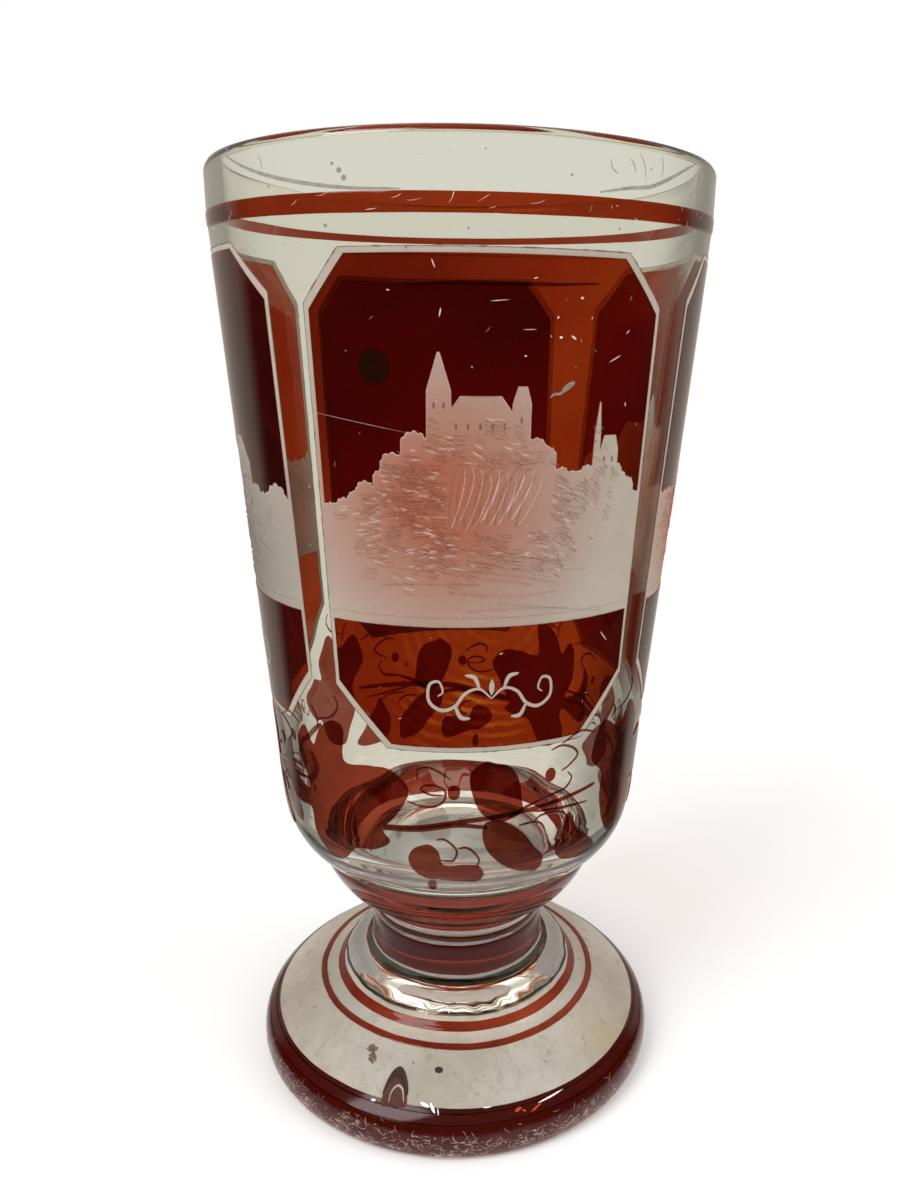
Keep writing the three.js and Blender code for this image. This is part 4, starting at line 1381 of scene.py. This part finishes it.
def make_inclusion():
    angles = np.linspace(0, 2 * np.pi, 16, endpoint=False)
    outline = np.stack([INCLUSION[0] + 1.35 * np.cos(angles), INCLUSION[1] + 0.2 * np.sin(angles)], -1)
    add_plate("inclusion", outline, CHIP_DARK, "clear_glass", step=0.3, lift=0.03, thickness=0.03)


def make_wear():
    chance = random.Random(77)
    make_scratches(chance)
    worm = brushed([WORM], 0.4, 0.35, 0.5) + brushed([WORM_BODY], 0.4, 0.75, 0.4)
    add_strokes("worm_mark", worm, ABOVE_RUBY, 0.03, WORM_GREY)
    brown = brushed(SCRIBBLE, 0.2, 0.28, 0.5)
    brown += random_dashes(chance, 60, 7, 11, (0.2, 0.6), (0.05, 0.12))
    add_strokes("brown_marks", brown, 0.03, 0.03, BROWN)
    make_inclusion()
    # Painted highlights and painted reddish glints on the foot's edge and the bead
    add_strokes("painted_highlights", [dash(*mark) for mark in PAINTED_HIGHLIGHTS], ABOVE_RUBY, 0.04, PAINTED_HIGHLIGHT)
    add_strokes("painted_red_glints", [dash(*mark) for mark in PAINTED_RED_GLINTS], ABOVE_RUBY, 0.04, PAINTED_RED_GLINT)
    waves = brushed(RIM_WAVES, 1, 0.5, 0.3) + brushed(RIM_SCRATCHES, 0.5, 0.16, 0.3)
    add_strokes("rim_waves", waves, 0.02, 0.03, RIM_SMOKE)
    add_strokes("dark_streak", brushed([DARK_STREAK], 1, 0.5, 0.3), ABOVE_RUBY, 0.02, STREAKED, "ruby_glass")
    flat = {"step": 0.5, "lift": ABOVE_RUBY, "thickness": 0.02}
    for count, spot in enumerate([DARK_SPOT, *BUBBLES]):
        material = SMOKED if count == 0 else BUBBLE
        add_plate(f"spot_{count}", round_outline(*spot), material, "clear_glass", **flat)


def make_chip():
    outline = smooth(CHIP, 0.3, closed=True)
    add_plate("chip", outline, CHIPPED, "clear_glass", step=0.4, lift=0.12, thickness=0.04)
    add_strokes("chip_ripple", brushed([CHIP_RIPPLE], 0.2, 0.22, 0.4), 0.17, 0.04, FAINT_SCRATCH)
    add_strokes("chip_border", brushed([CHIP[1:8]], 0.3, 0.95, 0.3), 0.14, 0.06, CHIP_DARK)


def make_lip_trace():
    """What is left of a red line on the edge of the lip, worn thin."""
    lip_radius, middle = lip_rounding()
    width = np.clip(0.05 + ragged(5, 0.12), 0.01, 0.3)
    rings = []
    for share, raised in ((-1, 0.02), (-0.4, 0.06), (0.4, 0.06), (1, 0.02), (0, 0.005)):
        tilt = math.radians(LIP_TRACE_TILT) + share * width
        radius = middle + (lip_radius + raised) * np.cos(tilt)
        level = LIP_LEVEL + (RIM_LEVEL - LIP_LEVEL + raised) * np.sin(tilt)
        rings.append(plain_ring(radius, np.minimum(level, RIM_LEVEL - 0.005)))
    return finish_piece(lathe("lip_trace", rings, closed=True), "ruby_glass", [WORN_RED])


# Camera, lights and floor


def make_camera():
    yaw, pitch, roll = (math.radians(a) for a in (CAMERA_YAW, CAMERA_PITCH, CAMERA_ROLL))
    forward = Vector((math.sin(yaw) * math.cos(pitch), math.cos(yaw) * math.cos(pitch), -math.sin(pitch)))
    level_right = Vector((math.cos(yaw), -math.sin(yaw), 0))
    level_up = level_right.cross(forward)
    right = level_right * math.cos(roll) + level_up * math.sin(roll)
    up = level_up * math.cos(roll) - level_right * math.sin(roll)
    turn = Matrix((right, up, -forward)).transposed()
    place = Vector((0, -CAMERA_DISTANCE, CAMERA_HEIGHT)) * MM
    round_axis = Matrix.Rotation(math.radians(CAMERA_AZIMUTH), 4, "Z")
    data = bpy.data.cameras.new("camera")
    data.sensor_fit = "VERTICAL"
    data.sensor_height = SENSOR
    data.lens = FOCAL_PIXELS / PHOTO_SIZE[1] * SENSOR
    data.shift_x = (PHOTO_SIZE[0] / 2 - CENTRE_PIXEL[0]) / PHOTO_SIZE[1]
    data.shift_y = (CENTRE_PIXEL[1] - PHOTO_SIZE[1] / 2) / PHOTO_SIZE[1]
    data.clip_start = 5 * MM
    camera = bpy.data.objects.new("camera", data)
    camera.matrix_world = round_axis @ Matrix.Translation(place) @ turn.to_4x4()
    bpy.context.scene.collection.objects.link(camera)
    bpy.context.scene.camera = camera


def make_lamp(name, place, size, power, mirrored=True):
    data = bpy.data.lights.new(name, "AREA")
    data.shape = "RECTANGLE"
    data.size, data.size_y = size
    data.energy = power
    lamp = bpy.data.objects.new(name, data)
    lamp.visible_transmission = False
    lamp.visible_glossy = mirrored
    lamp.location = place
    glass_middle = Vector((0, 0, RIM_LEVEL / 2 * MM))
    lamp.rotation_euler = (glass_middle - lamp.location).to_track_quat("-Z", "Y").to_euler()
    bpy.context.scene.collection.objects.link(lamp)


def make_lamps():
    make_lamp("window", (-0.7, -0.5, 0.9), (0.6, 0.8), 9.0)
    make_lamp("fill", (0.8, -0.4, 0.6), (0.8, 0.8), 4.0, mirrored=False)


# Directions, as azimuth and half width in degrees, where the room beside the backdrop is darker
DARK_SIDES = [(0, 26), (95, 22), (138, 16), (-48, 20)]
ROOM_COLOUR = (0.75, 0.735, 0.64, 1)
LIT_COLOUR = (1, 0.985, 0.96, 1)
MIRRORED_ROOM = 0.04
MIRRORED_BACKDROP = 0.55
MIRRORED_CEILING = 0.25
MIRROR_COLOUR = (1, 0.89, 0.76, 1)
AMBIENT_STRENGTH = 0.8
FLOOR_TINTS = (0.9, 0.9, 0.9, 1), (0.93, 0.93, 0.93, 1)
# Metres from the axis over which the lit floor fades into the backdrop: for most rays, for rays that come
# through the glass, and for mirrored ones
FLOOR_FADE = (0.06, 0.22)
THROUGH_FADE = (0.03, 0.05)
MIRROR_FADE = (0.035, 0.08)


def room_tone(nodes, way):
    """How bright the room is in a direction: full towards the backdrops, darker between and overhead."""
    tone = nodes.range(nodes.parts(way)["Z"], 0.35, 0.9, 1.0, 0.7)
    for azimuth, half_width in DARK_SIDES:
        turn = math.radians(azimuth)
        nearness = nodes.vectors("DOT_PRODUCT", way, (math.sin(turn), -math.cos(turn), 0), result="Value")
        dark = nodes.range(nearness, math.cos(math.radians(half_width)), 1, 1.0, 0.6)
        tone = nodes.maths("MULTIPLY", tone, dark)
    return tone


def bounced_tone(nodes, way):
    """The room after a bounce inside the glass: darker towards the front, and bright overhead and below."""
    parts = nodes.parts(way)
    dimmed = nodes.range(parts["Y"], -0.5, 0.1, 0.08, 0.36)
    steepness = nodes.maths("ABSOLUTE", parts["Z"])
    dimmed = nodes.maths("MAXIMUM", dimmed, nodes.range(steepness, 0.25, 0.5, 0.0, 2.6))
    bounced = nodes.maths("MINIMUM", nodes.path()["Glossy Depth"], 1.0)
    share = nodes.range(bounced, 0, 1, 1.0, dimmed)
    return nodes.maths("MULTIPLY", room_tone(nodes, way), share)


def mirrored_tone(nodes, way):
    """What the glass mirrors: a dim room in front of it, the bright backdrop behind it and the ceiling."""
    parts = nodes.parts(way)
    start = nodes.range(parts["X"], -0.2, 0.2, 0.45, 0.26)
    past_start = nodes.maths("SUBTRACT", parts["Y"], start)
    behind = nodes.range(past_start, 0, 0.15, MIRRORED_ROOM, MIRRORED_BACKDROP)
    ceiling = nodes.range(parts["Z"], 0.3, 0.75, MIRRORED_ROOM, MIRRORED_CEILING)
    return nodes.maths("MAXIMUM", behind, ceiling)


def make_floor():
    """A pale floor that keeps the shadow near the object and is white beyond it."""
    material, nodes = new_material("pale_floor")
    place = nodes.place()
    matt = nodes.shader("BsdfDiffuse", Color=nodes.colours(nodes.noise(place, 40, 3), *FLOOR_TINTS))
    white = nodes.shader("Emission", Color=WHITE, Strength=1.0)
    way = nodes.vectors("NORMALIZE", place)
    path = nodes.path()
    seen = nodes.shader("Emission", Color=ROOM_COLOUR, Strength=bounced_tone(nodes, way))
    dim = nodes.shader("Emission", Color=MIRROR_COLOUR, Strength=mirrored_tone(nodes, way))
    away = nodes.blend(path["Is Transmission Ray"], white, seen)
    distance = nodes.vectors("LENGTH", place, result="Value")
    through = nodes.maths("MULTIPLY", path["Is Transmission Ray"], nodes.range(distance, *THROUGH_FADE))
    beyond = nodes.maths("MAXIMUM", nodes.range(distance, *FLOOR_FADE), through)
    shown = nodes.blend(beyond, matt, away)
    mirrored = nodes.maths("SUBTRACT", path["Is Glossy Ray"], path["Is Transmission Ray"])
    mirrored = nodes.maths("MULTIPLY", mirrored, nodes.range(distance, *MIRROR_FADE))
    nodes.output(nodes.blend(mirrored, shown, dim))
    bpy.ops.mesh.primitive_circle_add(vertices=96, radius=3, fill_type="NGON")
    floor = bpy.context.object
    floor.name = "floor"
    floor.data.materials.append(material)


def make_world():
    """White for the camera, a warm pale room through the glass, and a dimmer one mirrored in it."""
    world = bpy.data.worlds.new("studio")
    bpy.context.scene.world = world
    world.use_nodes = True
    nodes = Nodes(world.node_tree)
    way = nodes.add("TexCoord").outputs["Generated"]
    path = nodes.path()
    lit = nodes.shader("Background", Color=LIT_COLOUR, Strength=AMBIENT_STRENGTH)
    mirrored = nodes.shader("Background", Color=MIRROR_COLOUR, Strength=mirrored_tone(nodes, way))
    room = nodes.shader("Background", Color=ROOM_COLOUR, Strength=bounced_tone(nodes, way))
    white = nodes.shader("Background", Color=WHITE, Strength=1.0)
    shown = nodes.blend(path["Is Glossy Ray"], lit, mirrored)
    shown = nodes.blend(path["Is Transmission Ray"], shown, room)
    nodes.output(nodes.blend(path["Is Camera Ray"], shown, white), "OutputWorld")


make_camera()
make_world()
make_lamps()
make_floor()
make_foot()
make_column("stem_glass", FOOT_TOP, STEM_TOP, "stem")
make_column("collar_glass", STEM_TOP, COLLAR_TOP, "collar")
make_bowl()
make_bands()
make_lip_trace()
for panel_number in range(1, PANEL_COUNT + 1):
    make_panel(panel_number)
make_garland()
make_wear()
make_chip()

bpy.context.scene.view_settings.view_transform = "Standard"
